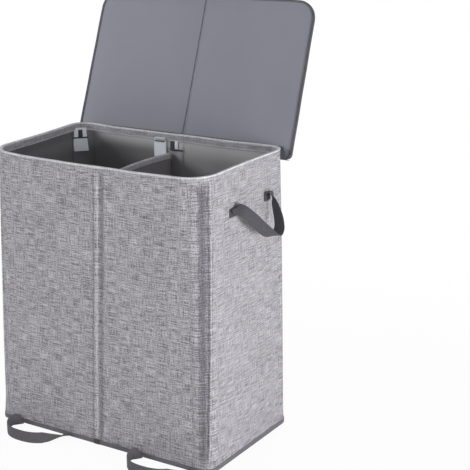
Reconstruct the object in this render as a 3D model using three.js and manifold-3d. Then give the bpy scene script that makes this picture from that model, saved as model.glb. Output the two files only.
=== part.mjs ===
// A laundry hamper with two bins: stiff boards sewn into linen cloth, a board divider,
// a padded lid that leans back open, webbing handles on the sides and at the front's foot.
//
// Millimetres, +Z up. The origin is the centre of the base's underside, on the floor.
// +X is the hamper's right seen from the front, -Y its front, where the two floor handles lie.

import * as THREE from 'three';
import { mergeVertices } from 'three/addons/utils/BufferGeometryUtils.js';
import Module from 'manifold-3d';

const wasm = await Module();
wasm.setup();

// Driving sizes of the body
const BODY_WIDTH = 600;
const BODY_DEPTH = 350;
const BODY_HEIGHT = 665;
const CORNER_RADIUS = 45;

// What a wall is made of, from the outside in
const GAP = 0.3;
const COVER_THICKNESS = 1;
const BOARD_THICKNESS = 2.5;
const LINING_THICKNESS = 0.8;
const CORNER_CLOTH = 2.4;

// Seams round the boards
const BOARD_SIDE_SEAM = 4;
const BOARD_TOP_SEAM = 4;
const BOARD_FOOT_SEAM = 6;
const CHANNEL_WIDTH = 20;

// The rim's hem, the binding round the foot, and the base
const HEM_CLOTH = 1.2;
const HEM_DROP = 12;
const BINDING_TAPE = 1.2;
const BINDING_HEIGHT = 9;
const BASE_THICKNESS = 2.5;

// The divider between the two bins
const DIVIDER_OFFSET = 20;
const DIVIDER_DROP = 48;
const DIVIDER_COVER = 0.8;
const DIVIDER_HEM = 12;
const DIVIDER_BOARD_INSET = 6;
const SEAM_TAPE = 1;

// The lid, and the axis that its cloth hinge turns about
const LID_SIDE_INSET = 1;
const LID_REAR_OVERHANG = 8;
const LID_OPEN_DEGREES = 110;
const LID_FRONT_RADIUS = 45;
const LID_REAR_RADIUS = 12;
const LID_LINING = 0.8;
const LID_BOARD = 2.5;
const LID_COVER = 1;
const LID_TAPE = 1;
const LID_BINDING_WIDTH = 8;
const LID_BOARD_SEAM = 5;
const LID_FOLD_WIDTH = 8;
const LID_REST_GAP = 2;
const HINGE_BELOW_RIM = 11;
const HINGE_BEHIND_WALL = 2;
const HINGE_STRIP_BELOW_RIM = 2;
const HINGE_STRIP_SEAM = 8;
const HINGE_STRIP_THICKNESS = 1;
const HINGE_STRIP_INSET = 2;
const STRIP_BEND_SHARES = [0.15, 0.68];

// Webbing handles
const WEBBING_WIDTH = 28;
const WEBBING_THICKNESS = 1.6;
const SIDE_HANDLE_SPAN = 148;
const SIDE_HANDLE_BELOW_RIM = 76;
const SIDE_HANDLE_DROP = 86;
const SIDE_HANDLE_REACH = 38;
const SIDE_HANDLE_FOOT = 20;
const SIDE_HANDLE_CURL = 5;
const SIDE_HANDLE_CURL_DEGREES = 150;
const SIDE_HANDLE_FRONT_SLANT_DEGREES = 38;
const SIDE_HANDLE_REAR_SLANT_DEGREES = 15;
const FLOOR_HANDLE_TO_SIDE = 126;
const FLOOR_HANDLE_SPAN = 146;
const FLOOR_HANDLE_REACH = 76;
const FLOOR_HANDLE_CORNER_POWER = 2.6;

// Tabs inside the rim that hold the liner bags
const TAB_WIDTH = 34;
const TAB_HEIGHT = 46;
const TAB_THICKNESS = 1.2;
const TAB_BAR_WIDTH = 38;
const TAB_BAR_HEIGHT = 4;
const TAB_BAR_THICKNESS = 1.6;
const TAB_BAR_DROP = 20;
const TAB_BELOW_RIM = 13;
const TAB_SIDE_TO_CORNER = 20;
const TAB_LEFT_OF_DIVIDER = 38;
const TAB_RIGHT_OF_DIVIDER = 6;

// How finely round stretches are cut
const ARC_STEPS = 10;
const ROUND_END_STEPS = 8;
const SIDE_LOOP_STEPS = 100;
const FLOOR_LOOP_STEPS = 54;
const CURL_STEPS = 5;

const cloth = new THREE.MeshStandardMaterial({ color: '#a3a1a8', roughness: 0.95, metalness: 0 });
const hemCloth = new THREE.MeshStandardMaterial({ color: '#b3b1b8', roughness: 0.95, metalness: 0 });
const board = new THREE.MeshStandardMaterial({ color: '#8a7f70', roughness: 0.9, metalness: 0 });
const lining = new THREE.MeshStandardMaterial({ color: '#4b4c50', roughness: 0.55, metalness: 0 });
const lidLining = new THREE.MeshStandardMaterial({ color: '#84848c', roughness: 0.6, metalness: 0 });
const tape = new THREE.MeshStandardMaterial({ color: '#57545c', roughness: 0.85, metalness: 0 });
const webbing = new THREE.MeshStandardMaterial({ color: '#4b4850', roughness: 0.8, metalness: 0 });
const tabWebbing = new THREE.MeshStandardMaterial({ color: '#b9bcc8', roughness: 0.8, metalness: 0 });

const object = new THREE.Group();

function addMesh(parent, name, geometry, material) {
  const mesh = new THREE.Mesh(geometry, material);
  mesh.name = name;
  parent.add(mesh);
  return mesh;
}

// A solid for cutting, from a closed geometry
function solid(geometry) {
  const bare = geometry.clone();
  bare.deleteAttribute('normal');
  bare.deleteAttribute('uv');
  const merged = mergeVertices(bare);
  return new wasm.Manifold(new wasm.Mesh({
    numProp: 3,
    vertProperties: new Float32Array(merged.attributes.position.array),
    triVerts: new Uint32Array(merged.index.array),
  }));
}

function geometryOf(manifold) {
  const mesh = manifold.getMesh();
  const geometry = new THREE.BufferGeometry();
  geometry.setAttribute('position', new THREE.BufferAttribute(mesh.vertProperties, mesh.numProp));
  geometry.setIndex(new THREE.BufferAttribute(mesh.triVerts, 1));
  geometry.computeVertexNormals();
  return geometry;
}

function block(x, y, z) {
  const geometry = new THREE.BoxGeometry(x[1] - x[0], y[1] - y[0], z[1] - z[0]);
  return geometry.translate((x[0] + x[1]) / 2, (y[0] + y[1]) / 2, (z[0] + z[1]) / 2);
}

function upright(shape, low, high) {
  const depth = high - low;
  const options = { depth, bevelEnabled: false, curveSegments: ARC_STEPS };
  const geometry = new THREE.ExtrudeGeometry(shape, options);
  return geometry.translate(0, 0, low);
}

// A rectangle about the origin, its front corners rounded by one radius and its rear ones by another
function roundedRectangle(x, y, frontRadius, rearRadius) {
  const shape = new THREE.Shape();
  shape.absarc(x[0] + frontRadius, y[0] + frontRadius, frontRadius, Math.PI, Math.PI * 1.5, false);
  shape.absarc(x[1] - frontRadius, y[0] + frontRadius, frontRadius, Math.PI * 1.5, Math.PI * 2, false);
  shape.absarc(x[1] - rearRadius, y[1] - rearRadius, rearRadius, 0, Math.PI / 2, false);
  shape.absarc(x[0] + rearRadius, y[1] - rearRadius, rearRadius, Math.PI / 2, Math.PI, false);
  shape.closePath();
  return shape;
}

// A flat strap along a path: at each point the strap lies across the path in the direction given
function strap(points, across, width, thickness) {
  const last = points.length - 1;
  const position = [];
  points.forEach((point, i) => {
    const tangent = points[Math.min(i + 1, last)].clone().sub(points[Math.max(i - 1, 0)]).normalize();
    const side = across[i].clone().addScaledVector(tangent, -across[i].dot(tangent)).normalize();
    const face = new THREE.Vector3().crossVectors(side, tangent);
    for (const [s, f] of [[-1, -1], [1, -1], [1, 1], [-1, 1]]) {
      const corner = point.clone().addScaledVector(side, s * width / 2);
      corner.addScaledVector(face, f * thickness / 2);
      position.push(corner.x, corner.y, corner.z);
    }
  });
  const index = [];
  const sides = 4;
  for (let i = 0; i < last; i++) {
    for (let k = 0; k < sides; k++) {
      const a = i * sides + k;
      const b = i * sides + (k + 1) % sides;
      index.push(a, a + sides, b, b, a + sides, b + sides);
    }
  }
  const end = last * sides;
  index.push(0, 1, 2, 0, 2, sides - 1);
  index.push(end, end + 2, end + 1, end, end + sides - 1, end + 2);
  const geometry = new THREE.BufferGeometry();
  geometry.setAttribute('position', new THREE.Float32BufferAttribute(position, 3));
  geometry.setIndex(index);
  geometry.computeVertexNormals();
  return geometry;
}

// Depths into a wall from its cover's outer face
const boardDepth = COVER_THICKNESS + GAP;
const liningDepth = boardDepth + BOARD_THICKNESS + GAP;
const wallThickness = liningDepth + LINING_THICKNESS;
const hemDepth = wallThickness + GAP;
const hemFace = hemDepth + HEM_CLOTH;
const clothTop = BODY_HEIGHT - HEM_CLOTH - GAP;
const boardTop = clothTop - BOARD_TOP_SEAM;

// A corner folds about the middle of its curve, so the four walls shear as a parallelogram
const foldInset = CORNER_RADIUS * (1 - Math.SQRT1_2);
const foldY = BODY_DEPTH / 2 - foldInset;

// Each wall is built in a group of its own: x runs along the wall, +y inward from its outer face
function wallGroup(turns, reach) {
  const group = new THREE.Group();
  group.rotation.z = turns * Math.PI / 2;
  const face = new THREE.Group();
  face.position.y = -reach;
  group.add(face);
  object.add(group);
  return face;
}

function hem(halfLength) {
  const profile = new THREE.Shape([
    new THREE.Vector2(0, BODY_HEIGHT - HEM_CLOTH),
    new THREE.Vector2(hemDepth, BODY_HEIGHT - HEM_CLOTH),
    new THREE.Vector2(hemDepth, BODY_HEIGHT - HEM_DROP),
    new THREE.Vector2(hemFace, BODY_HEIGHT - HEM_DROP),
    new THREE.Vector2(hemFace, BODY_HEIGHT),
    new THREE.Vector2(0, BODY_HEIGHT),
  ]);
  const geometry = new THREE.ExtrudeGeometry(profile, { depth: 2 * halfLength, bevelEnabled: false });
  const alongWall = new THREE.Matrix4().set(0, 0, 1, -halfLength, 1, 0, 0, 0, 0, 1, 0, 0, 0, 0, 0, 1);
  return geometry.applyMatrix4(alongWall);
}

// A quarter ring round a corner whose centre is on the wall's flat end
function cornerRing(flatHalf, outerRadius, thickness) {
  const shape = new THREE.Shape();
  shape.absarc(flatHalf, CORNER_RADIUS, outerRadius, -Math.PI / 2, 0, false);
  shape.absarc(flatHalf, CORNER_RADIUS, outerRadius - thickness, 0, -Math.PI / 2, true);
  shape.closePath();
  return shape;
}

function addWall(name, corner, turns, length, reach, boards) {
  const wall = wallGroup(turns, reach);
  const flatHalf = length / 2 - CORNER_RADIUS;
  const clothHalf = flatHalf - GAP;
  const across = [-clothHalf, clothHalf];
  addMesh(wall, `cover_${name}`, block(across, [0, COVER_THICKNESS], [0, clothTop]), cloth);
  for (const [boardName, from, to] of boards(flatHalf - BOARD_SIDE_SEAM)) {
    const depth = [boardDepth, boardDepth + BOARD_THICKNESS];
    addMesh(wall, boardName, block([from, to], depth, [BOARD_FOOT_SEAM, boardTop]), board);
  }
  addMesh(wall, `lining_${name}`, block(across, [liningDepth, wallThickness], [0, clothTop]), lining);
  addMesh(wall, `rim_${name}`, hem(clothHalf), hemCloth);
  const tapeDepth = [-GAP - BINDING_TAPE, -GAP];
  addMesh(wall, `binding_${name}`, block(across, tapeDepth, [0, BINDING_HEIGHT]), tape);
  const clothRing = cornerRing(flatHalf, CORNER_RADIUS, CORNER_CLOTH);
  addMesh(wall, `corner_${corner}`, upright(clothRing, 0, BODY_HEIGHT), cloth);
  const tapeRing = cornerRing(flatHalf, CORNER_RADIUS + GAP + BINDING_TAPE, BINDING_TAPE);
  addMesh(wall, `binding_corner_${corner}`, upright(tapeRing, 0, BINDING_HEIGHT), tape);
  return wall;
}

const halfWidth = BODY_WIDTH / 2;
const halfDepth = BODY_DEPTH / 2;
const oneBoard = (name) => (end) => [[`board_${name}`, -end, end]];
const boardPair = (first, second) => (end) => [
  [`board_${first}`, -end, -CHANNEL_WIDTH / 2],
  [`board_${second}`, CHANNEL_WIDTH / 2, end],
];
const frontWall = addWall('front', 'front_right', 0, BODY_WIDTH, halfDepth,
  boardPair('front_left', 'front_right'));
const rightWall = addWall('right', 'back_right', 1, BODY_DEPTH, halfWidth, oneBoard('right'));
const backWall = addWall('back', 'back_left', 2, BODY_WIDTH, halfDepth,
  boardPair('back_right', 'back_left'));
const leftWall = addWall('left', 'front_left', 3, BODY_DEPTH, halfWidth, oneBoard('left'));

// The base cloth fills the walls' inside at the floor
const baseX = halfWidth - wallThickness - GAP;
const baseY = halfDepth - wallThickness - GAP;
const baseRadius = CORNER_RADIUS - wallThickness - GAP;
const baseShape = roundedRectangle([-baseX, baseX], [-baseY, baseY], baseRadius, baseRadius);
addMesh(object, 'base', upright(baseShape, 0, BASE_THICKNESS), lining);

// The divider: a board in a cloth sleeve with a hem over its top, between two seam tapes.
// Its ends are round about the fold axes, so it turns there as the walls shear.
function roundEnded(halfThickness) {
  const points = [];
  for (const end of [-1, 1]) {
    for (let i = 0; i <= ROUND_END_STEPS; i++) {
      const angle = Math.PI * i / ROUND_END_STEPS;
      const x = end * halfThickness * Math.cos(angle);
      points.push(new THREE.Vector2(x, end * (foldY + halfThickness * Math.sin(angle))));
    }
  }
  return new THREE.Shape(points);
}

const divider = new THREE.Group();
divider.position.x = -DIVIDER_OFFSET;
object.add(divider);
const dividerFoot = BASE_THICKNESS + GAP;
const dividerTop = BODY_HEIGHT - DIVIDER_DROP;
const sleeveInner = BOARD_THICKNESS / 2 + GAP;
const sleeveOuter = sleeveInner + DIVIDER_COVER;
const hemInner = sleeveOuter + GAP;
const hemOuter = hemInner + DIVIDER_COVER;
const hemFoot = dividerTop - DIVIDER_HEM;
const sleeveTop = dividerTop - DIVIDER_COVER - GAP;
const dividerBoardHalf = foldY - DIVIDER_BOARD_INSET;
addMesh(divider, 'divider_board', block([-BOARD_THICKNESS / 2, BOARD_THICKNESS / 2],
  [-dividerBoardHalf, dividerBoardHalf], [dividerFoot, sleeveTop]), board);
const sleeve = solid(upright(roundEnded(sleeveOuter), dividerFoot, sleeveTop))
  .subtract(solid(upright(roundEnded(sleeveInner), dividerFoot - GAP, sleeveTop + GAP)));
addMesh(divider, 'divider_cover', geometryOf(sleeve), lining);
const cap = solid(upright(roundEnded(hemOuter), hemFoot, dividerTop))
  .subtract(solid(upright(roundEnded(hemInner), hemFoot - GAP, sleeveTop + GAP)));
addMesh(divider, 'divider_hem', geometryOf(cap), hemCloth);

const seamNear = foldY + sleeveOuter + GAP;
const seamFar = halfDepth - wallThickness - GAP;
for (const [name, y] of [['front', [-seamFar, -seamNear]], ['back', [seamNear, seamFar]]]) {
  const tapeStrip = block([-SEAM_TAPE / 2, SEAM_TAPE / 2], y, [dividerFoot, hemFoot - GAP]);
  addMesh(divider, `divider_seam_${name}`, tapeStrip, lining);
}

// Tabs for the liner bags: one across the back-left corner, two by the divider's back end,
// and one on the right wall near the back
function addTab(wall, name, x) {
  const tabTop = BODY_HEIGHT - TAB_BELOW_RIM;
  const back = wallThickness + GAP;
  const front = back + TAB_THICKNESS;
  addMesh(wall, `tab_${name}`, block([x - TAB_WIDTH / 2, x + TAB_WIDTH / 2], [back, front],
    [tabTop - TAB_HEIGHT, tabTop]), tabWebbing);
  const barTop = tabTop - TAB_BAR_DROP;
  addMesh(wall, `tab_bar_${name}`, block([x - TAB_BAR_WIDTH / 2, x + TAB_BAR_WIDTH / 2],
    [front + GAP, front + GAP + TAB_BAR_THICKNESS], [barTop - TAB_BAR_HEIGHT, barTop]), tape);
}

// The corner tab's two upright edges rest on the inside of the corner's curve
const cornerX = halfWidth - CORNER_RADIUS;
const cornerY = halfDepth - CORNER_RADIUS;
const tabSeat = Math.sqrt((CORNER_RADIUS - CORNER_CLOTH) ** 2 - (TAB_WIDTH / 2) ** 2) - GAP;
const backLeftTurns = 2.5;
const acrossCorner = wallGroup(backLeftTurns,
  (cornerX + cornerY) * Math.SQRT1_2 + tabSeat + wallThickness + GAP);
addTab(acrossCorner, 'left_bin_side', (cornerX - cornerY) * Math.SQRT1_2);
addTab(backWall, 'left_bin_middle', DIVIDER_OFFSET + TAB_LEFT_OF_DIVIDER);
addTab(backWall, 'right_bin_middle', DIVIDER_OFFSET - TAB_RIGHT_OF_DIVIDER);
addTab(rightWall, 'right_bin_side', cornerY - TAB_SIDE_TO_CORNER);

// One end of a side handle: a foot flat on the wall pointing up, then the strap curls over
// forwards. The curl's axis starts along the strap's width and slants more and more, up to the
// angle given, which sends the strap off along the wall.
// Each row holds a point on the strap's middle line and the direction of its width.
function sideHandleEnd(slantDegrees) {
  const foot = BODY_HEIGHT - SIDE_HANDLE_BELOW_RIM - SIDE_HANDLE_FOOT;
  const point = new THREE.Vector3(-SIDE_HANDLE_SPAN / 2, -GAP - WEBBING_THICKNESS / 2, foot);
  const width = new THREE.Vector3(1, 0, 0);
  const heading = new THREE.Vector3(0, 0, 1);
  const rows = [[point.clone(), width.clone()]];
  for (let i = 0; i < CURL_STEPS; i++) {
    point.z += (SIDE_HANDLE_FOOT - SIDE_HANDLE_CURL) / CURL_STEPS;
    rows.push([point.clone(), width.clone()]);
  }
  const step = THREE.MathUtils.degToRad(SIDE_HANDLE_CURL_DEGREES) / CURL_STEPS;
  for (let i = 1; i <= CURL_STEPS; i++) {
    const slant = THREE.MathUtils.degToRad(slantDegrees) * (i - 1) / (CURL_STEPS - 1);
    const axis = width.clone().multiplyScalar(Math.cos(slant)).addScaledVector(heading, Math.sin(slant));
    heading.applyAxisAngle(axis, step / 2);
    point.addScaledVector(heading, SIDE_HANDLE_CURL * step);
    heading.applyAxisAngle(axis, step / 2);
    width.applyAxisAngle(axis, step);
    rows.push([point.clone(), width.clone()]);
  }
  return rows;
}

// The hanging stretch between the two ends: shares of the span along the wall, of the reach
// out from it and of the drop, then the direction of the strap's width along, out and up
const SIDE_LOOP_SHARES = [
  [-0.41, 0.5, -0.14, 0.6, 0.05, 0.8], [-0.28, 0.66, -0.36, 0.58, 0.25, 0.75],
  [-0.16, 0.76, -0.57, 0.53, 0.45, 0.68], [-0.03, 0.87, -0.78, 0.44, 0.62, 0.6],
  [0.1, 0.95, -0.94, 0.3, 0.85, 0.4], [0.22, 1, -1, 0.1, 0.98, 0.1],
  [0.32, 0.97, -0.88, -0.1, 0.99, 0], [0.37, 0.87, -0.69, -0.2, 0.97, 0.05],
  [0.42, 0.66, -0.43, -0.35, 0.93, 0.1], [0.46, 0.45, -0.2, -0.6, 0.8, 0.15],
];

function sideHandle() {
  const top = BODY_HEIGHT - SIDE_HANDLE_BELOW_RIM;
  const hanging = SIDE_LOOP_SHARES.map(([along, out, down, acrossX, acrossOut, acrossZ]) => [
    new THREE.Vector3(along * SIDE_HANDLE_SPAN, -out * SIDE_HANDLE_REACH,
      top + down * SIDE_HANDLE_DROP),
    new THREE.Vector3(acrossX, -acrossOut, acrossZ),
  ]);
  const rear = sideHandleEnd(SIDE_HANDLE_REAR_SLANT_DEGREES).reverse();
  for (const [point, width] of rear) {
    point.x = -point.x;
    width.x = -width.x;
  }
  const rows = [...sideHandleEnd(SIDE_HANDLE_FRONT_SLANT_DEGREES), ...hanging, ...rear];
  const path = new THREE.CatmullRomCurve3(rows.map(([point]) => point), false, 'centripetal');
  const points = [];
  const across = [];
  for (let i = 0; i <= SIDE_LOOP_STEPS; i++) {
    const t = path.getUtoTmapping(i / SIDE_LOOP_STEPS);
    const place = t * (rows.length - 1);
    const from = Math.min(Math.floor(place), rows.length - 2);
    points.push(path.getPoint(t));
    across.push(new THREE.Vector3().lerpVectors(rows[from][1], rows[from + 1][1], place - from));
  }
  return strap(points, across, WEBBING_WIDTH, WEBBING_THICKNESS);
}
addMesh(rightWall, 'side_handle_right', sideHandle(), webbing);
const mirrored = sideHandle();
mirrored.scale(-1, 1, 1);
const turned = mirrored.index.array.slice();
for (let i = 0; i < turned.length; i += 3) {
  [turned[i], turned[i + 1]] = [turned[i + 1], turned[i]];
}
mirrored.setIndex(new THREE.BufferAttribute(turned, 1));
mirrored.computeVertexNormals();
addMesh(leftWall, 'side_handle_left', mirrored, webbing);

// A floor handle stands on its edge at the front's foot and bows out over the floor
function floorHandle(centre) {
  const halfSpan = FLOOR_HANDLE_SPAN / 2;
  const start = GAP + BINDING_TAPE + GAP;
  const points = [];
  const across = [];
  for (let i = 0; i <= FLOOR_LOOP_STEPS; i++) {
    const angle = Math.PI * (1 - i / FLOOR_LOOP_STEPS);
    const power = 2 / FLOOR_HANDLE_CORNER_POWER;
    const x = Math.sign(Math.cos(angle)) * Math.abs(Math.cos(angle)) ** power;
    const out = Math.abs(Math.sin(angle)) ** power;
    const y = -start - FLOOR_HANDLE_REACH * out;
    points.push(new THREE.Vector3(centre + halfSpan * x, y, WEBBING_WIDTH / 2));
    across.push(new THREE.Vector3(0, 0, 1));
  }
  return strap(points, across, WEBBING_WIDTH, WEBBING_THICKNESS);
}
const floorHandleCentre = halfWidth - FLOOR_HANDLE_TO_SIDE;
addMesh(frontWall, 'floor_handle_left', floorHandle(-floorHandleCentre), webbing);
addMesh(frontWall, 'floor_handle_right', floorHandle(floorHandleCentre), webbing);

// The lid's group turns about its hinge axis. Shut, its own axes are the hamper's.
const hinge = new THREE.Group();
hinge.position.set(0, halfDepth + HINGE_BEHIND_WALL, BODY_HEIGHT - HINGE_BELOW_RIM);
hinge.rotation.x = -THREE.MathUtils.degToRad(LID_OPEN_DEGREES);
object.add(hinge);
const lidUnderside = HINGE_BELOW_RIM + LID_REST_GAP;
const lidY = [-BODY_DEPTH - HINGE_BEHIND_WALL, LID_REAR_OVERHANG];
const lidX = [LID_SIDE_INSET - halfWidth, halfWidth - LID_SIDE_INSET];

function lidPlate(inset, low, high) {
  const x = [lidX[0] + inset, lidX[1] - inset];
  const y = [lidY[0] + inset, lidY[1] - inset];
  const shape = roundedRectangle(x, y, LID_FRONT_RADIUS - inset, LID_REAR_RADIUS - inset);
  return upright(shape, low, high);
}

const lidLiningLow = lidUnderside + LID_TAPE + GAP;
const lidBoardLow = lidLiningLow + LID_LINING + GAP;
const lidCoverLow = lidBoardLow + LID_BOARD + GAP;
const lidCoverTop = lidCoverLow + LID_COVER;
const lidTop = lidCoverTop + GAP + LID_TAPE;
const lidEdge = LID_TAPE + GAP;
addMesh(hinge, 'lid_lining', lidPlate(lidEdge, lidLiningLow, lidLiningLow + LID_LINING), lidLining);
addMesh(hinge, 'lid_cover', lidPlate(lidEdge, lidCoverLow, lidCoverTop), cloth);

const boardOutline = solid(lidPlate(LID_BOARD_SEAM, lidBoardLow, lidBoardLow + LID_BOARD));
for (const [name, x] of [
  ['left', [lidX[0], -LID_FOLD_WIDTH / 2]],
  ['right', [LID_FOLD_WIDTH / 2, lidX[1]]],
]) {
  const half = solid(block(x, lidY, [lidBoardLow - GAP, lidBoardLow + LID_BOARD + GAP]));
  addMesh(hinge, `lid_board_${name}`, geometryOf(boardOutline.intersect(half)), board);
}

const bindingRing = solid(lidPlate(0, lidUnderside, lidTop))
  .subtract(solid(lidPlate(LID_TAPE, lidLiningLow - GAP, lidCoverTop + GAP)))
  .subtract(solid(lidPlate(LID_BINDING_WIDTH, lidUnderside - GAP, lidTop + GAP)));
addMesh(hinge, 'lid_binding', geometryOf(bindingRing), tape);

// The cloth strip that the lid hangs on: sewn to the back wall below the rim, it sags out and
// down to the lid's rear edge
const stripDepth = GAP + HINGE_STRIP_THICKNESS / 2;
const stripWallY = halfDepth + stripDepth;
const stripTop = BODY_HEIGHT - HINGE_STRIP_BELOW_RIM;
hinge.updateMatrixWorld();
const lidEdgePoint = (z) => hinge.localToWorld(new THREE.Vector3(0, lidY[1] + stripDepth, z));
const stripSewn = new THREE.Vector3(0, stripWallY, stripTop - HINGE_STRIP_SEAM);
const stripMeets = lidEdgePoint(lidUnderside);
const stripBend = new THREE.Vector3(0,
  THREE.MathUtils.lerp(stripSewn.y, stripMeets.y, STRIP_BEND_SHARES[0]),
  THREE.MathUtils.lerp(stripSewn.z, stripMeets.z, STRIP_BEND_SHARES[1]));
const stripPath = new THREE.CatmullRomCurve3([
  new THREE.Vector3(0, stripWallY, stripTop), stripSewn, stripBend, stripMeets, lidEdgePoint(lidTop),
], false, 'centripetal').getPoints(ARC_STEPS);
const alongLid = stripPath.map(() => new THREE.Vector3(1, 0, 0));
const stripWidth = lidX[1] - lidX[0] - 2 * (LID_REAR_RADIUS + HINGE_STRIP_INSET);
addMesh(object, 'lid_hinge_strip', strap(stripPath, alongLid, stripWidth, HINGE_STRIP_THICKNESS), tape);

export default object;
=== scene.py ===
# %% [markdown]
# # A folding laundry hamper with two bins
# Stiff boards are sewn between a linen cover and a dark lining. A board divider makes two
# bins, a lid of two boards leans back open, and webbing loops hang on the side walls and
# stand on the floor at the front's foot. This lesson dresses the jointed solids in cloth. The
# solids come first, because every piece has to sit where its solid sits.

import bpy
import numpy as np
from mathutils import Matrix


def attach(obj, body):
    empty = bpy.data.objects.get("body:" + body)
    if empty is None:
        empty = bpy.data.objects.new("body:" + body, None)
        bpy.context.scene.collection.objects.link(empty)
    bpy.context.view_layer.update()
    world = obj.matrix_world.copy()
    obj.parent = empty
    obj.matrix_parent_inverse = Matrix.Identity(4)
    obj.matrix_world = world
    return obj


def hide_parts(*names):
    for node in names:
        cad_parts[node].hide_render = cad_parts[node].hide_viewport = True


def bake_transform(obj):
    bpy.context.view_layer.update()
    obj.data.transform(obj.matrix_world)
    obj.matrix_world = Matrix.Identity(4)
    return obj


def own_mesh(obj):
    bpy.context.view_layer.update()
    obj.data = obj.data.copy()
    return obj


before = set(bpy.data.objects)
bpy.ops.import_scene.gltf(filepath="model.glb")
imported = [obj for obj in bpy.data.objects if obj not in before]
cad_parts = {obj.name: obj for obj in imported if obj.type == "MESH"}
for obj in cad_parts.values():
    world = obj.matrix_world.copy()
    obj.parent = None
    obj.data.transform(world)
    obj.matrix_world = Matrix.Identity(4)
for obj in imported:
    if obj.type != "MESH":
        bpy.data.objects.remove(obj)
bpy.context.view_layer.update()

# %% [markdown]
# ## The camera
# The camera stands where the photograph was taken from, to the hamper's right and above it.
# A long lens keeps the upright edges nearly parallel. The focal length was found in pixels
# of a picture 470 wide, so it turns into millimetres by the sensor's width over 470.

# %% Set the camera
PICTURE, SENSOR = 470, 36
FOCAL_PIXELS = 1219.4
YAW, PITCH = np.radians(31.63), np.radians(15.91)
CAMERA_PLACE = (1.6044, -2.1884, 1.2275)

camera_data = bpy.data.cameras.new("camera")
camera_data.sensor_width = SENSOR
camera_data.lens = FOCAL_PIXELS / PICTURE * SENSOR
camera = bpy.data.objects.new("camera", camera_data)
camera.location = CAMERA_PLACE
camera.rotation_euler = (np.pi / 2 - PITCH, 0, YAW)
bpy.context.scene.collection.objects.link(camera)
bpy.context.scene.camera = camera
print("lens", round(camera_data.lens, 1), "mm")

# %% [markdown]
# ## Sizes that the pieces share
# These are the sizes of the solids, in metres. Depths go into a wall from its cloth's outer
# face. The corner's radius isn't one number on the real thing: the foot is pulled tight
# round the base and the rim is slack, so the radius grows from the foot to the rim.

# %% Name the shared sizes
WIDTH, DEPTH, HEIGHT = 0.600, 0.350, 0.665
CORNER = 0.045
SLIT = 0.0003
WALLS = ("front", "right", "back", "left")
CORNERS = ("front_right", "back_right", "back_left", "front_left")
FRONT, RIGHT, BACK, LEFT = range(4)
FRONT_RIGHT, BACK_RIGHT, BACK_LEFT, FRONT_LEFT = range(4)
LONG_WALLS = (FRONT, BACK)
LENGTH = (WIDTH, DEPTH, WIDTH, DEPTH)
REACH = (DEPTH / 2, WIDTH / 2, DEPTH / 2, WIDTH / 2)
BODY = ("front_wall", "right_wall", "base_and_back", "left_wall")
FOOT_RADIUS = (0.028, 0.034, 0.045, 0.028)
RIM_RADIUS = (0.063, 0.050, 0.045, 0.060)
LINING_DEPTH = 0.0045
CLOTH_TOP = 0.6635
HEM_FOOT = 0.6480
print("walls", WALLS, "and corners", CORNERS)

# %% [markdown]
# ## Meshes from grids
# Every new piece is a grid of points that closes on itself in one direction, like a tube:
# round a strip's outline, or up a cloth's outer face and down its inner one. Working out the
# points as whole arrays keeps each shape a short formula. The signed volume tells whether
# the faces came out inside out, so the order is turned round only where it has to be.

# %% Build a closed mesh from a grid
def stacked(*parts):
    """Numbers, rows, columns or grids, spread to one size and put side by side."""
    return np.stack(np.broadcast_arrays(*parts), -1)


def grid_faces(rows, columns, ring=False):
    """Four-cornered faces of a grid that closes round its columns. Its two end rows are
    closed by strips between opposite columns, or joined to each other in a ring."""
    i = np.arange(rows if ring else rows - 1)[:, None]
    j = np.arange(columns)[None, :]
    after_i, after_j = (i + 1) % rows, (j + 1) % columns
    faces = stacked(i * columns + j, i * columns + after_j,
                    after_i * columns + after_j, after_i * columns + j).reshape(-1, 4)
    if ring:
        return faces
    k = np.arange(columns // 2 - 1)
    first = stacked(columns - 1 - k, columns - 2 - k, k + 1, k)
    return np.concatenate([faces, first, first[:, ::-1] + (rows - 1) * columns])


def signed_volume(points, faces):
    """A sixth of the sum of each triangle's triple product, with each face cut in two."""
    a, b, c, d = (points[faces[:, k]] for k in range(4))
    halves = np.cross(b, c) + np.cross(c, d)
    return float(np.einsum("ij,ij->", a, halves)) / 6


def make_piece(name, points, faces, finish, uv=None):
    """A mesh object with faces outwards, smooth but for edges sharper than 40 degrees."""
    points = points.reshape(-1, 3)
    if signed_volume(points, faces) < 0:
        faces = faces[:, ::-1]
    mesh = bpy.data.meshes.new(name)
    mesh.from_pydata(points, [], faces.tolist())
    if uv is not None:
        layer = mesh.uv_layers.new(name="cloth")
        layer.data.foreach_set("uv", uv.reshape(-1, 2)[faces.ravel()].ravel())
    mesh.polygons.foreach_set("use_smooth", np.ones(len(faces), bool))
    mesh.set_sharp_from_angle(angle=np.radians(40))
    mesh.materials.append(finish)
    piece = bpy.data.objects.new(name, mesh)
    bpy.context.scene.collection.objects.link(piece)
    return piece


def grid_piece(name, points, finish, uv, ring=False):
    """One piece from a grid of points and its grid of cloth coordinates."""
    return make_piece(name, points, grid_faces(*points.shape[:2], ring), finish, uv)


def enlist(piece, node, body=None):
    """Hides the solid that a piece replaces, and hangs the piece on the one body that carries
    it, where one is given.
    """
    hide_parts(node)
    if body:
        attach(piece, body)


print("a 4 by 6 tube has", len(grid_faces(4, 6)), "faces")

# %% [markdown]
# ## Outlines and curves
# A strip of cloth seen end on is its middle line moved half a thickness to either side.
# Soft lines go through a few points by a Catmull-Rom curve, which passes through each of
# them, and are then cut again at even steps so that no stretch gets crowded.

# %% Draw strips and smooth lines
def unit(vectors):
    """Each row of a table divided by its own length."""
    return vectors / np.linalg.norm(vectors, axis=1, keepdims=True)


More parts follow.
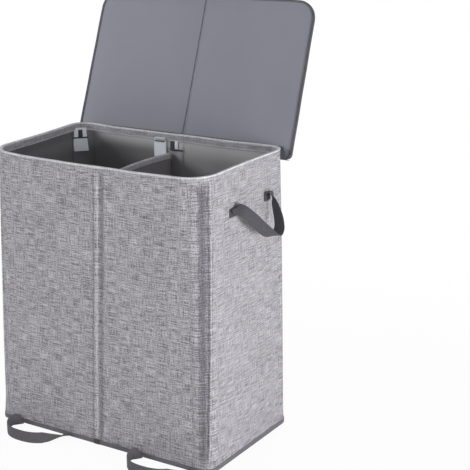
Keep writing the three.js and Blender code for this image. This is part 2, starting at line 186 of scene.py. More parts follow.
def strip_outline(line, thickness):
    """A line of points moved half a thickness to one side, then back along the other."""
    line = np.asarray(line, float)
    along = unit(np.gradient(line, axis=0))
    side = stacked(along[:, 1], -along[:, 0]) * thickness / 2
    return np.concatenate([line + side, (line - side)[::-1]])


def length_along(line):
    """How far along a line each of its points lies."""
    steps = np.linalg.norm(np.diff(line, axis=0), axis=1)
    return np.concatenate([[0], np.cumsum(steps)])


def read_off(places, length, table):
    """The rows of a table, known at some lengths, read off at other places between them."""
    return np.stack([np.interp(places, length, column) for column in table.T], 1)


def curve_through(points, count):
    """A Catmull-Rom curve through the points, cut at even steps of the length that its
    first three columns make. Further columns, such as a direction, are carried along."""
    p = np.asarray(points, float)
    p = np.concatenate([2 * p[:1] - p[1:2], p, 2 * p[-1:] - p[-2:-1]])
    t = np.linspace(0, len(p) - 3, 40 * (len(p) - 3) + 1)
    i = np.minimum(t.astype(int), len(p) - 4)
    f = (t - i)[:, None]
    a, b, c, d = p[i], p[i + 1], p[i + 2], p[i + 3]
    q = b + (c - a) * f / 2 + (a - 2.5 * b + 2 * c - d / 2) * f**2
    q += (1.5 * (b - c) + (d - a) / 2) * f**3
    length = length_along(q[:, :3])
    return read_off(np.linspace(0, length[-1], count), length, q)


def smooth_step(value, low, high):
    """0 below low, 1 above high, and 3t^2 - 2t^3 between."""
    t = np.clip((value - low) / (high - low), 0, 1)
    return t * t * (3 - 2 * t)


def plateau(value, low, risen, falling, high):
    """A smooth step up from low to risen times one down from falling to high."""
    return smooth_step(value, low, risen) * (1 - smooth_step(value, falling, high))


def bell(value, centre, width):
    """The bell curve e^(-d^2), with d the distance from the centre in widths."""
    return np.exp(-(((value - centre) / width) ** 2))


print("half way up a step:", smooth_step(0.5, 0, 1))

# %% [markdown]
# ## How the sewn body settles
# The real body isn't a true box. Its rim draws in, its side walls bow inwards, its front and
# back bow out a little, and the front rim hangs lower than the back. One function moves any
# point of the body in that way, so cloth, boards, lining and tabs all stay together.
# The back-left corner hardly moves, because the folding body turns there.

# %% Move points as the sewn body settles
SIDE_BOW, FACE_BOW, RIM_SAG = 0.0066, 0.0053, 0.0045


def settle(points):
    """x shrinks by a share that grows with height; the side walls move in and the front and
    back move out by a parabola; heights shrink by a share that grows towards the front, and
    the long rims sag in the middle by a parabola."""
    x, y, z = np.moveaxis(points, -1, 0)
    h = np.clip(z / HEIGHT, 0, 1)
    across, along = x / (WIDTH / 2), y / (DEPTH / 2)
    middle = np.clip(1 - across**2, 0, 1)
    towards_front = np.clip(0.5 - y / DEPTH, 0, 1)
    narrowing = h * np.where(x > 0, 0.03, 0.056 * towards_front - 0.026)
    sides_in = SIDE_BOW * h * across * np.clip(1 - along**2, 0, 1)
    faces_out = FACE_BOW * h * along * middle
    wave = 0.0007 * along * np.sin(15 * x + 6 * z) * np.sin(np.pi * h)
    lift = 0.0006 * h**6 * (np.sin(17 * x + 1.3) + 0.5 * np.sin(41 * x))
    lift = lift - RIM_SAG * h**4 * along**2 * middle
    return stacked(x * (1 - narrowing) - sides_in, y + faces_out + wave,
                   z * (1 - 0.01 * towards_front) + lift)


def turned(points, quarter_turns):
    """Points turned about the upright axis, leftwards seen from above."""
    angle = quarter_turns * np.pi / 2
    x, y, z = np.moveaxis(points, -1, 0)
    cos, sin = np.cos(angle), np.sin(angle)
    return stacked(cos * x - sin * y, sin * x + cos * y, z)


rim_corner = settle(np.array([WIDTH / 2, -DEPTH / 2, HEIGHT]))
print("the front-right rim moves to", np.round(rim_corner, 4))

# %% [markdown]
# ## Walls and corners as surfaces
# A wall is a function of the distance along it, the depth into it and the height. A corner
# is the same with an angle in place of the distance: a ray from the corner's middle meets
# either a flat stretch or the corner's arc, whichever comes first.

# %% Work out points of a wall and of a corner
def radius_at(corner, z):
    """The outer radius of a corner at a height, from its foot's to its rim's."""
    h = np.clip(z / HEIGHT, 0, 1)
    return FOOT_RADIUS[corner] + (RIM_RADIUS[corner] - FOOT_RADIUS[corner]) * h**2.2


def on_wall(wall, along, depth, z):
    """A straight wall, bent inwards by an arc where a corner's radius reaches into it."""
    inward = depth
    for corner, distance in ((wall, along), (wall - 1, -along)):
        radius = radius_at(corner, z) - depth
        past = np.clip(distance - (LENGTH[wall] / 2 - radius_at(corner, z)), 0, radius)
        inward = inward + radius - np.sqrt(radius**2 - past**2)
    return settle(turned(stacked(along, inward - REACH[wall], z), wall))


def on_corner(corner, angle, depth, z):
    """A ray from the point CORNER in from both walls. It ends on the flat of the nearer
    wall, or on the circle of the corner's radius where it gets past both tangent points."""
    sin, cos = np.sin(angle), np.cos(angle)
    radius = radius_at(corner, z)
    shift = CORNER - radius
    lean = shift * (sin + cos)
    inside = lean**2 - 2 * shift**2 + (radius - depth) ** 2
    arc = lean + np.sqrt(np.clip(inside, 0, None))
    flat = (CORNER - depth) / np.maximum(sin, cos)
    ray = np.where((arc * sin >= shift) & (arc * cos >= shift), arc, flat)
    x = LENGTH[corner] / 2 - CORNER + ray * sin
    y = CORNER - ray * cos - REACH[corner]
    return settle(turned(stacked(x, y, z), corner))


middle = on_corner(BACK_LEFT, np.array([np.pi / 4]), np.array([0.0]), np.array([0.3]))
print("the back-left fold is at", np.round(middle, 4).tolist())

# %% [markdown]
# ## Shader maths as Python
# A material's pattern is arithmetic on numbers that vary over a surface. Wiring Math nodes
# by hand hides the formula, so a small class wraps a socket, and its operators add the
# nodes. Every other node comes from one method of the finish that it belongs to.

# %% Wrap sockets and nodes
class Field:
    """A number that varies over a surface. Its operators add Math nodes."""

    def __init__(self, finish, socket):
        self.finish, self.socket = finish, socket

    def maths(self, operation, first, second=0.0):
        return self.finish.node("ShaderNodeMath", {"operation": operation},
                                {0: first, 1: second})

    def __add__(self, other):
        return self.maths("ADD", self, other)

    def __sub__(self, other):
        return self.maths("SUBTRACT", self, other)

    def __rsub__(self, other):
        return self.maths("SUBTRACT", other, self)

    def __mul__(self, other):
        return self.maths("MULTIPLY", self, other)

    def __pow__(self, other):
        return self.maths("POWER", self, other)

    def wave(self):
        return self.maths("SINE", self)

    def limited(self):
        return self.maths("MINIMUM", self.maths("MAXIMUM", self, 0.0), 1.0)

    __radd__ = __add__
    __rmul__ = __mul__


class Finish:
    """A material under construction, with its shader and one method for all its nodes."""

    def __init__(self, name, **constants):
        self.material = bpy.data.materials.new(name)
        self.material.use_nodes = True
        self.tree = self.material.node_tree
        self.shader = self.tree.nodes["Principled BSDF"]
        for socket, value in constants.items():
            self.shader.inputs[socket.replace("_", " ")].default_value = value

    def node(self, kind, settings=None, sockets=None, output=0):
        """Adds a node: first its settings, then the values or links of its sockets."""
        made = self.tree.nodes.new(kind)
        for setting, value in (settings or {}).items():
            setattr(made, setting, value)
        for socket, value in (sockets or {}).items():
            if isinstance(value, Field):
                self.tree.links.new(value.socket, made.inputs[socket])
            else:
                made.inputs[socket].default_value = value
        return Field(self, made.outputs[output])

    def feed(self, socket, field):
        self.tree.links.new(field.socket, self.shader.inputs[socket])

    def place(self, source="UV"):
        """Where the shader is, in the piece's own cloth coordinates or its Object space."""
        return self.node("ShaderNodeTexCoord", output=source)

    def painted_shading(self):
        """The share of painted shade that the mesh carries; below none it is a painted
        highlight.
        """
        return self.node("ShaderNodeAttribute", {"attribute_name": "painted_shading"}, output="Fac")

    def noise(self, vector, scale, detail):
        """Cloudy noise, stretched by a scale for each direction."""
        at = self.node("ShaderNodeVectorMath", {"operation": "MULTIPLY"},
                       {0: vector, 1: scale})
        return self.node("ShaderNodeTexNoise", None,
                         {"Vector": at, "Scale": 1.0, "Detail": detail})

    def rows(self, vector, index, pitch):
        """A sine wave along one direction of the cloth, with a wave to each pitch."""
        along = self.node("ShaderNodeSeparateXYZ", None, {0: vector}, index)
        return (along * (2 * np.pi / pitch)).wave()

    def mixed(self, factor, first, second):
        return self.node("ShaderNodeMix", {"data_type": "RGBA"},
                         {0: factor, 6: first, 7: second}, 2)

    def bumped(self, height, distance, strength):
        self.feed("Normal", self.node("ShaderNodeBump", None,
                                      {"Height": height, "Distance": distance,
                                       "Strength": strength}))


print("shader helpers ready")

# %% [markdown]
# ## Colours
# Colours are written as they look on a screen, from 0 to 255, and turned into the linear
# light that a renderer adds up.

# %% Turn screen colours into light
def colour(red, green, blue):
    """Linear light from a screen colour: a 2.4 power curve above a short straight foot."""
    c = np.array([red, green, blue]) / 255
    light = np.where(c <= 0.04045, c / 12.92, ((c + 0.055) / 1.055) ** 2.4)
    return (*light.tolist(), 1.0)


print("mid grey", np.round(colour(128, 128, 128)[:3], 3))

# %% [markdown]
# ## Linen
# Heathered linen is woven from threads of uneven thickness and shade. Up close it is a fine
# grid, and from a few steps away long thin level streaks crossed by fainter upright ones.
# Noises stretched along each thread direction give the streaks, and two sine waves give the
# threads. Where the cloth hangs slack between boards it lies in its own shade, so an
# attribute of the mesh paints that shade on it, and paints a highlight where a fold stands
# proud.

# %% Mix the linen
def linen(name, dark, light, contrast=1.0):
    """The share of the light colour is a half, less by the painted shade that the mesh
    carries and more where that is below none, as a painted highlight, plus level and upright
    streaks, plus fine speckle. Painted shade also mixes in the painted shade colour. The
    bump is the thread grid with the same streaks as thicker threads."""
    cloth = Finish(name, Roughness=0.92, Specular_IOR_Level=0.25, Sheen_Weight=0.15)
    at, painted_shading = cloth.place(), cloth.painted_shading()
    level = cloth.noise(at, (30, 540, 1), 4) - 0.5
    upright = cloth.noise(at, (540, 34, 1), 4) - 0.5
    speckle = cloth.noise(at, (230, 640, 1), 2) - 0.5
    cloudy = cloth.noise(at, (9, 14, 1), 2) - 0.5
    streaks = level * 2.6 + upright * 1.7
    share = 0.5 - painted_shading * 0.35 + contrast * (streaks + speckle * 1.9 + cloudy * 0.3)
    woven = cloth.mixed(share.limited(), colour(*dark), colour(*light))
    cloth.feed("Base Color", cloth.mixed((painted_shading * 0.3).limited(), woven, PAINTED_SHADE_COLOUR))
    threads = cloth.rows(at, 0, LINEN_THREAD) * cloth.rows(at, 1, LINEN_THREAD)
    cloth.bumped(threads * 0.3 + streaks + speckle, 0.00045, 0.8)
    return cloth.material


# Painted shade: the colour that cloth is mixed with where painted shade is asked for.
PAINTED_SHADE_COLOUR = colour(72, 70, 78)
LINEN_THREAD, LINING_THREAD = 0.0013, 0.0007
LINEN_DARK, LINEN_LIGHT = (106, 104, 111), (205, 203, 209)
linen_cover = linen("linen_cover", LINEN_DARK, LINEN_LIGHT)
linen_side = linen("linen_side", LINEN_DARK, LINEN_LIGHT, 0.8)
# Painted light: the hem's, the divider hem's and the piping's linen are lighter copies of the
# cover's linen, so that they look lit where they lie in shade. The piping is partly its own
# pale trim and partly a painted highlight along the rim's top.
hem_linen_painted_light = linen("hem_linen_painted_light", (138, 138, 144), (232, 231, 237), 0.55)
divider_linen_painted_light = linen("divider_linen_painted_light", (192, 191, 198), (250, 249, 253), 0.6)
piping_linen_painted_highlight = linen("piping_linen_painted_highlight", (192, 191, 197), (248, 247, 252), 0.6)
print("linen from", LINEN_DARK, "to", LINEN_LIGHT)

# %% [markdown]
# ## Lining, lid lining and board
# The lining is a smooth coated cloth that shines softly in broad folds. The lid's lining is
# bluer and nearly plain. The boards are brown pasteboard, and nobody sees them until the
# hamper is taken apart, but they get their fibres anyway.

# %% Mix the smooth cloths and the board
def smooth_cloth(name, dark, light, roughness=0.42):
    """Two close shades mixed by broad cloudy noise, darker by half of any painted shade, a
    fine thread bump, and a roughness that wanders with the clouds."""
    cloth = Finish(name, Specular_IOR_Level=0.4, Sheen_Weight=0.1)
    at = cloth.place()
    clouds = cloth.noise(at, (7, 4, 1), 3)
    grain = cloth.noise(at, (1500, 1500, 1), 1)
    plain = cloth.mixed((clouds * 1.4 - 0.2 + grain * 0.1).limited(), colour(*dark),
                        colour(*light))
    cloth.feed("Base Color", cloth.mixed((cloth.painted_shading() * 0.5).limited(), plain, PAINTED_SHADE_COLOUR))
    cloth.feed("Roughness", roughness + clouds * 0.12)
    threads = cloth.rows(at, 0, LINING_THREAD) * cloth.rows(at, 1, LINING_THREAD)
    cloth.bumped(threads * 0.25 + grain * 0.5 + clouds * 6, 0.00012, 0.6)
    return cloth.material


def pasteboard(name, dark, light):
    """Short fibres: noise stretched up to tell length from width, on two dull browns."""
    board = Finish(name, Roughness=0.9, Specular_IOR_Level=0.2)
    fibres = board.noise(board.place("Object"), (300, 300, 60), 3)
    board.feed("Base Color", board.mixed(fibres, colour(*dark), colour(*light)))
    board.bumped(fibres, 0.0003, 0.4)
    return board.material


bin_lining = smooth_cloth("bin_lining", (136, 136, 139), (160, 159, 161))
# Painted light: the back wall's and the divider sleeve's linings are lighter copies of the
# same lining, so that they look lit.
back_lining_painted_light = smooth_cloth("back_lining_painted_light", (177, 177, 180), (208, 207, 208))
sleeve_lining_painted_light = smooth_cloth("sleeve_lining_painted_light", (148, 144, 147), (174, 169, 172))
lid_lining = smooth_cloth("lid_lining", (127, 128, 140), (138, 139, 151), 0.5)
base_lining = smooth_cloth("base_lining", (90, 90, 95), (108, 108, 112), 0.5)
card = pasteboard("pasteboard", (122, 112, 98), (156, 145, 128))
print("smooth cloths ready")

# %% [markdown]
# ## Webbing, tape, plastic and thread
# Webbing is woven so tightly that it shows ribs across the strap. The binding tape has a
# finer rib. The tabs' pale webbing is made lighter still and glows a little: painted light
# where the tabs lie in shade. The floor loops' webbing is a lighter copy of the side
# handles', painted light too. The small fittings on the tabs are plastic.

# %% Mix the webbing, the tape and the small fittings
def webbing(name, dark, light, rib=0.0016, **constants):
    """Ribs are the squared sine along the strap; a second sine across it breaks them into
    stitches. The shade follows the ribs, and a noise wears them unevenly."""
    band = Finish(name, Roughness=0.78, Specular_IOR_Level=0.35, Sheen_Weight=0.1,
                  **constants)
    at = band.place()
    ribs = band.rows(at, 1, 2 * rib) ** 2.0
    chains = band.rows(at, 0, 2 * rib * 1.3) ** 2.0
    wear = band.noise(at, (300, 180, 1), 3)
    share = ribs * 0.45 + chains * 0.2 + wear * 0.6 - 0.15
    band.feed("Base Color", band.mixed(share.limited(), colour(*dark), colour(*light)))
    band.bumped(ribs + chains * 0.6 + wear * 0.5, 0.00035, 0.7)
    return band.material


def plain_plastic(name, shade, roughness):
    """One shade with a faint moulded grain in its gloss and bump."""
    plastic = Finish(name, Base_Color=colour(*shade))
    grain = plastic.noise(plastic.place("Object"), (900, 900, 900), 2)
    plastic.feed("Roughness", roughness + grain * 0.15)
    plastic.bumped(grain, 0.00008, 0.4)
    return plastic.material


FINE_RIB = 0.0011
strap_webbing = webbing("strap_webbing", (51, 49, 55), (96, 94, 102))
# Painted light: the floor loops' webbing is a lighter copy of the side handles' webbing, for
# its lit outer face.
floor_webbing_painted_light = webbing("floor_webbing_painted_light", (66, 64, 70), (116, 114, 121))
# Painted light: the tabs' webbing is made lighter and glows a little, so that tabs in shade
# look lit.
tab_webbing = webbing("tab_webbing", (214, 216, 228), (243, 244, 252), 0.0012,
                      Emission_Color=(0.8, 0.82, 0.9, 1), Emission_Strength=0.10)
foot_tape = webbing("foot_tape", (92, 90, 97), (134, 132, 139), FINE_RIB)
lid_tape = webbing("lid_tape", (62, 62, 68), (104, 104, 111), FINE_RIB)
dark_plastic = plain_plastic("dark_plastic", (38, 38, 44), 0.35)
clear_plastic = plain_plastic("clear_plastic", (205, 208, 216), 0.15)
thread = plain_plastic("thread", (176, 174, 180), 0.7)
print("webbing, tape, plastic and thread ready")

# %% [markdown]
# ## The cloth's relief
# Cloth over boards shows what is under it: a groove with sharp creases where it is sewn down
# between the two boards of the front, a soft step past each board's edge, and a slack dip in
# each corner. Each is a bell or a step added to the cloth's depth. Shade in the groove, in
# each corner's dip, on the hems and on the linings is painted as well, kept as a share that
# darkens the cloth, or lightens it as a painted highlight where it is below none.

# %% Work out how deep the cover lies
BOARD_SIDE = 0.050
HANDLE_SEAM = (0.050, 0.560)
# How much painted shade each corner's dip gets, one number a corner.
CORNER_PAINTED_SHADING = (1, 0.6, 0.4, 0.6)
CORNER_DIP = (0.0042, 0.0030, 0.0012, 0.0030)


def channel_line(wall, z):
    """Where the groove between a long wall's boards runs. The front's leans: a straight
    line in height. The back's is upright."""
    return -0.0025 + 0.029 * z / HEIGHT if wall == FRONT else 0 * z


def valley(wall, along, z):
    """The groove's depth: a short smooth step down from its left edge, and a long one back
    up."""
    return 0.0045 * plateau(along - channel_line(wall, z), -0.0090, -0.0015, 0.0015, 0.0155)


def wall_painted_shading(wall, along, z):
    """Share of painted shade beside the groove's left edge and down its right slope, and less
    than none, a painted highlight, on the left slope, which faces the light."""
    if wall not in LONG_WALLS:
        return 0 * along * z
    x = along - channel_line(wall, z)
    share = 0.5 * bell(x, -0.0140, 0.0026) - 0.7 * bell(x, -0.0045, 0.0022)
    share = share + 0.55 * plateau(x, 0.0005, 0.0040, 0.012, 0.0150)
    return share * (1 - smooth_step(z, 0.640, 0.658))


def lining_painted_shading(z):
    """Share of painted shade up a lining: a narrow bell where shade falls under the hem's
    foot.
    """
    return 0.9 * bell(z, 0.6452, 0.0020)


def left_wall_painted_shading(z):
    """Share of painted shade on the left wall's lining, which lies in shade: most at its top.
    """
    return 0.15 + 0.35 * smooth_step(z, 0.560, 0.600) + 0.60 * smooth_step(z, 0.620, 0.638)


def below_light(z):
    """Share of painted shade: 1 deep in the left bin and 0 above, where light still reaches
    its back corner.
    """
    return 1 - smooth_step(z, 0.600, 0.630)


def wall_lining_painted_shading(wall, x, z):
    """Painted shade of a wall's lining. Light falls on the back wall below its hem, so a
    smooth step down the wall paints shade on it, deeper in the left bin. Towards the wall's
    ends the painted shade goes over to its corners'. The left wall's lining gets its own."""
    painted_shading = lining_painted_shading(z) + 0 * x
    if wall == LEFT:
        painted_shading = painted_shading + left_wall_painted_shading(z) * smooth_step(LENGTH[wall] / 2 - CORNER - x, 0, 0.05)
    if wall == BACK:
        left_bin = smooth_step(x, -0.02, 0.06)
        step = smooth_step(z, 0.600 + 0.012 * left_bin, 0.645 + 0.003 * left_bin)
        deep = (1.12 + 0.38 * left_bin) * (1 - step)
        end = 1 + 0.5 * left_bin * below_light(z)
        inside = LENGTH[wall] / 2 - CORNER - SLIT - np.abs(x)
        painted_shading = painted_shading + end + (deep - end) * smooth_step(inside, 0, 0.03)
    return painted_shading


def corner_lining_painted_shading(corner, angle, z):
    """Painted shade of a corner's lining: the back-left corner passes from the back wall's
    end to the left wall's painted shade.
    """
    turn = smooth_step(angle, 0, np.pi / 2)
    shade = below_light(z) * (1 - turn) + left_wall_painted_shading(z) * turn
    return lining_painted_shading(z) + (shade if corner == BACK_LEFT else 0 * turn)


def hem_painted_shading(_, place, z):
    """Share of painted shade up a hem: a painted highlight along its top fold and its sewn
    foot, painted shade between.
    """
    share = 0.40 * plateau(z, 0.6500, 0.6525, 0.6610, 0.6640)
    share = share - 0.9 * smooth_step(z, 0.6622, 0.6645) - 0.7 * bell(z, 0.6482, 0.0013)
    return share + 0 * place


def sewn_fade(z):
    """1 over most of a wall and 0 where the cloth is sewn down at its foot and its rim."""
    return plateau(z, 0.004, 0.03, 0.645, 0.660)


def cover_relief(wall, along, z):
    """Depth added to the cover: on the long walls the valley and a sewn crease beside it, a
    step past the boards' side edges, and folds by the side handles."""
    edge = LENGTH[wall] / 2 - BOARD_SIDE
    depth = 0.0011 * smooth_step(np.abs(along), edge - 0.004, edge + 0.004)
    depth = depth + 0.0004 * np.sin(31 * along + 9 * z) * np.sin(23 * z + 3 * wall)
    if wall in LONG_WALLS:
        x = along - channel_line(wall, z)
        depth = depth + valley(wall, along, z) - 0.0014 * bell(x, -0.0108, 0.0028)
        depth = depth - 0.0006 * bell(x, 0.0200, 0.0040)
    else:
        far = along if wall == RIGHT else -along
        down = z - HANDLE_SEAM[1]
        slant = far - HANDLE_SEAM[0] - 0.9 * down
        near = plateau(down, -0.10, -0.01, 0.0, 0.03)
        depth = depth + 0.0016 * near * bell(slant, -0.012, 0.006)
        depth = depth - 0.0010 * near * bell(slant, -0.024, 0.007)
    return depth * sewn_fade(z)


def corner_band(corner, angle, z):
    """-1 to 1 across the band of slack cloth between two boards: the angle less that of the
    band's middle, over half its spread. Both grow with height at the front right."""
    h = z / HEIGHT
    middle, half = (34.7 + 20 * h, 9.5 + 7 * h) if corner == FRONT_RIGHT else (45, 16)
    return (np.degrees(angle) - middle) / half


def corner_painted_shading(corner, angle, z):
    """Share of painted shade, by smooth steps up and down across the band, a painted
    highlight on the ridge past it and a thin line of painted shade beyond, gone at rim and
    foot.
    """
    t = corner_band(corner, angle, z)
    share = plateau(t, -1.7, -0.9, 0.92, 1.12) * (1.1 - 0.45 * smooth_step(t, -0.5, 0.7))
    share = share - 0.4 * bell(t, 1.27, 0.13) + 0.5 * bell(t, 1.58, 0.13)
    return CORNER_PAINTED_SHADING[corner] * share * plateau(z, 0.0, 0.04, 0.635, 0.658)


def corner_relief(corner, angle, z):
    """Depth added to a corner's cloth: the band dips, and a ridge stands beside it where the
    next board's edge begins. Both are gone at the rim and at the foot."""
    t = corner_band(corner, angle, z)
    dip = CORNER_DIP[corner] * plateau(t, -1.3, -0.5, 0.6, 1.15)
    band = (dip - 0.0016 * bell(t, 1.29, 0.19)) * plateau(z, 0.01, 0.06, 0.62, 0.658)
    ends = 0.0011 * (1 - plateau(np.degrees(angle), 0, 14, 84, 90))
    return band + sewn_fade(z) * ends


print("groove depth", round(float(valley(BACK, 0.0015, 0.3)) * 1000, 1), "mm")

# %% [markdown]
# ## Covers, linings, boards and hems of the four walls
# Each wall is three layers: cover, boards, lining, with a folded hem over the rim and a
# tape round the foot. A strip's outline in depth and height is carried along the wall, and
# the wall's surface function bends it into place.

# %% Carry an outline along a wall or round a corner
def strip_piece(name, surface, index, places, outline, finish, painted_shading=None, relief=None):
    """The outline's depths and heights at every place: a distance along the wall or an angle
    of the corner. The share of painted shade goes into the mesh, one number for each point."""
    place, depth, z = places[:, None], outline[None, :, 0], outline[None, :, 1]
    if relief:
        depth = depth + relief(index, place, z)
    along = place if surface is on_wall else CORNER * place + LENGTH[index] / 2
    piece = grid_piece(name, surface(index, place, depth, z), finish,
                       stacked(along + index, z))
    if painted_shading:
        layer = piece.data.attributes.new("painted_shading", "FLOAT", "POINT")
        layer.data.foreach_set("value", painted_shading(index, place, z).ravel())
    return piece


def upright_outline(depth, thickness, low, high, count):
    """A straight strip standing in a wall, from one height to another."""
    return strip_outline(stacked(depth, np.linspace(low, high, count)), thickness)


def drawn_outline(points, count, thickness):
    """A strip along the curve through a few depths and heights."""
    return strip_outline(curve_through(points, count), thickness)


def rod(depth, z, thick, tall, count):
    """An ellipse in depth and height."""
    turn = np.linspace(0, 2 * np.pi, count, endpoint=False)
    return stacked(depth + thick * np.cos(turn), z + tall * np.sin(turn))


COVER_OUTLINE = upright_outline(0.0005, 0.0010, 0.0, CLOTH_TOP, 90)
LINING_OUTLINE = upright_outline(LINING_DEPTH, 0.0008, 0.0028, CLOTH_TOP, 90)
BOARD_OUTLINE = upright_outline(0.0028, 0.0022, 0.006, 0.6590, 24)
HEM_OUTLINE = drawn_outline(
    [(0.0002, 0.6600), (0.0008, 0.6638), (0.0028, 0.6651), (0.0052, 0.6648),
     (0.0066, 0.6630), (0.0069, 0.6600), (0.0068, 0.6540), (0.0070, HEM_FOOT)], 40, 0.0010)
PIPING_OUTLINE = rod(0.0003, 0.6640, 0.0015, 0.0016, 14)
FOOT_OUTLINE = drawn_outline(
    [(-0.0004, 0.0110), (-0.0008, 0.0086), (-0.0010, 0.0045), (-0.0008, 0.0006)], 12, 0.0011)
JOIN_OUTLINE = drawn_outline(
    [(-0.0011, 0.0128), (-0.0022, 0.0100), (-0.0025, 0.0050), (-0.0022, 0.0007)], 12, 0.0012)
print("hem outline", HEM_OUTLINE.shape[0], "points")

# %% [markdown]
# The lining hangs a little loose. It has soft upright folds, and a ridge below the hem where
# the seam allowance lies behind it.

# %% Let the lining fold
def lining_ridge(z):
    """Depth of the ridge a little below the hem."""
    return 0.0009 * bell(z, 0.6375, 0.0035)


def loose(z):
    """1 over the middle heights and 0 towards the foot and the rim."""
    return plateau(z, 0.01, 0.12, 0.56, 0.64)


def lining_relief(wall, along, z):
    """Depth added to a lining: broad upright folds that die out at the rim and the foot, the
    ridge, and half the groove on the long walls."""
    folds = np.sin(27 * along + wall) * np.sin(5 * z + 2 * wall) + 0.5 * np.sin(61 * along)
    depth = 0.0013 * loose(z) * (1 + folds * 0.7) + lining_ridge(z)
    if wall in LONG_WALLS:
        depth = depth + 0.5 * valley(wall, along, z) * (1 - smooth_step(z, 0.630, 0.650))
    return depth


def corner_lining_relief(corner, angle, z):
    """The same ridge and a faint fold, so that the corner meets both walls' linings, pushed
    inwards wherever the cover dips."""
    dips = np.clip(corner_relief(corner, angle, z), 0, None)
    return 0.0011 * loose(z) + lining_ridge(z) + dips


print("lining relief ready")

# %% Dress the four walls
def spread(half, count, fine=False):
    """Even places from -half to half, with extra ones round the groove where there is one."""
    places = np.linspace(-half, half, count)
    if fine:
        places = np.concatenate([places, np.linspace(-0.032, 0.050, 110)])
    return np.unique(np.round(places, 6))


LAYER_SLOTS = ("cloth", "lining", "hem_cloth", "hem_cloth", "binding_tape")
for k, wall in enumerate(WALLS):
    half = LENGTH[k] / 2 - CORNER - SLIT
    even, fine = spread(half, 60), spread(half, 60, k in LONG_WALLS)
    cover = (spread(half, 90, True), linen_cover) if k in LONG_WALLS else (fine, linen_side)
    lining = back_lining_painted_light if k == BACK else bin_lining
    made = [strip_piece(f"{part}_{wall}", on_wall, k, places, *rest)
            for part, places, *rest in (
                ("cover_cloth", cover[0], COVER_OUTLINE, cover[1], wall_painted_shading, cover_relief),
                ("lining_cloth", fine, LINING_OUTLINE, lining, wall_lining_painted_shading,
                 lining_relief),
                ("hem", even, HEM_OUTLINE, hem_linen_painted_light, hem_painted_shading),
                ("piping", even, PIPING_OUTLINE, piping_linen_painted_highlight),
                ("foot_tape", even, FOOT_OUTLINE, foot_tape))]
    for piece, node, slot in zip(made, ("cover", "lining", "rim", "rim", "binding"),
                                 LAYER_SLOTS):
        enlist(piece, f"{node}_{wall}", BODY[k])
    beneath = f"stiffener_{wall}" + ("_left" if k in LONG_WALLS else "")
join = strip_piece("foot_tape_join", on_wall, FRONT, np.linspace(-0.0135, 0.0010, 12),
                   JOIN_OUTLINE, strap_webbing)
enlist(join, "binding_front", "front_wall")
print("walls dressed:", ", ".join(WALLS))

# %% [markdown]
# ## The boards
# The boards are what the cloth is stretched over. They follow the settled walls, so they
# stay between cover and lining everywhere.

# %% Cut the boards
def add_board(side, wall, low, high):
    """One stiffener, an upright strip between two distances along its wall. An end close to
    the groove follows the groove's line, by the share of the way to that end."""
    x, z = np.linspace(low, high, 24)[:, None], BOARD_OUTLINE[None, :, 1]
    near = (x - low) / (high - low) if abs(high) < abs(low) else (high - x) / (high - low)
    points = on_wall(wall, x + channel_line(wall, z) * near, BOARD_OUTLINE[None, :, 0], z)
    piece = grid_piece(f"stiffener_{side}", points, card, points[..., :2])
    enlist(piece, f"board_{side}", BODY[wall])


long_end, short_end = (length / 2 - CORNER - 0.004 for length in (WIDTH, DEPTH))
GROOVE_HALF = 0.0175
add_board("front_left", FRONT, -long_end, -GROOVE_HALF)
add_board("front_right", FRONT, GROOVE_HALF, long_end)
add_board("back_right", BACK, -long_end, -GROOVE_HALF)
add_board("back_left", BACK, GROOVE_HALF, long_end)
add_board("right", RIGHT, -short_end, short_end)
add_board("left", LEFT, -short_end, short_end)
print("six boards")

# %% [markdown]
# ## The corners
# When the hamper folds, three corners bend like hinges. Their cloth is made in one piece
# between the two walls that it joins. The fourth, at the back left, is where the folding loop
# of walls is closed by sewing. It is made as two halves that meet at the line the body turns
# about, and each half follows its own wall.

# %% Dress the corners
def corner_pieces(corner, share, end=""):
    """Cover, lining, hem, piping and foot tape of one corner or of one half of it, over a
    share of its quarter turn."""
    name, angle = CORNERS[corner] + end, share * np.pi / 2
    made = [strip_piece(f"corner_{part}_{name}", on_corner, corner, angle, *rest)
            for part, *rest in (
                ("cloth", COVER_OUTLINE, linen_cover, corner_painted_shading, corner_relief),
                ("lining", LINING_OUTLINE, bin_lining, corner_lining_painted_shading,
                 corner_lining_relief),
                ("hem", HEM_OUTLINE, hem_linen_painted_light, hem_painted_shading),
                ("piping", PIPING_OUTLINE, piping_linen_painted_highlight),
                ("tape", FOOT_OUTLINE, foot_tape))]
    for piece, slot in zip(made, LAYER_SLOTS):
        node = "binding_corner_" if slot == "binding_tape" else "corner_"
        enlist(piece, node + CORNERS[corner])
    return made


whole_turn = np.linspace(0, 1, 97)
joined = {FRONT_RIGHT: ("front_wall", "right_wall"),
          BACK_RIGHT: ("right_wall", "base_and_back"),
          FRONT_LEFT: ("left_wall", "front_wall")}
for corner, (first, second) in joined.items():
    ends = [on_corner(corner, np.array([a]), np.array([0.0]), np.array([0.3]))[0]
            for a in (0.0, np.pi / 2)]
    for piece in corner_pieces(corner, whole_turn):
        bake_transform(piece)
for end, body, share in (("_back", "base_and_back", whole_turn[:49]),
                         ("_side", "left_wall", whole_turn[48:])):
    for piece in corner_pieces(BACK_LEFT, share, end):
        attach(piece, body)
print("corners dressed; the blended ones are", [CORNERS[c] for c in joined])

# %% [markdown]
# ## The base
# The floor of the bins is one cloth that the foot seam holds. It runs on under the linings
# to the cover, so that no light comes up round its edge. It crumples as the body folds, and
# it goes with the back wall.

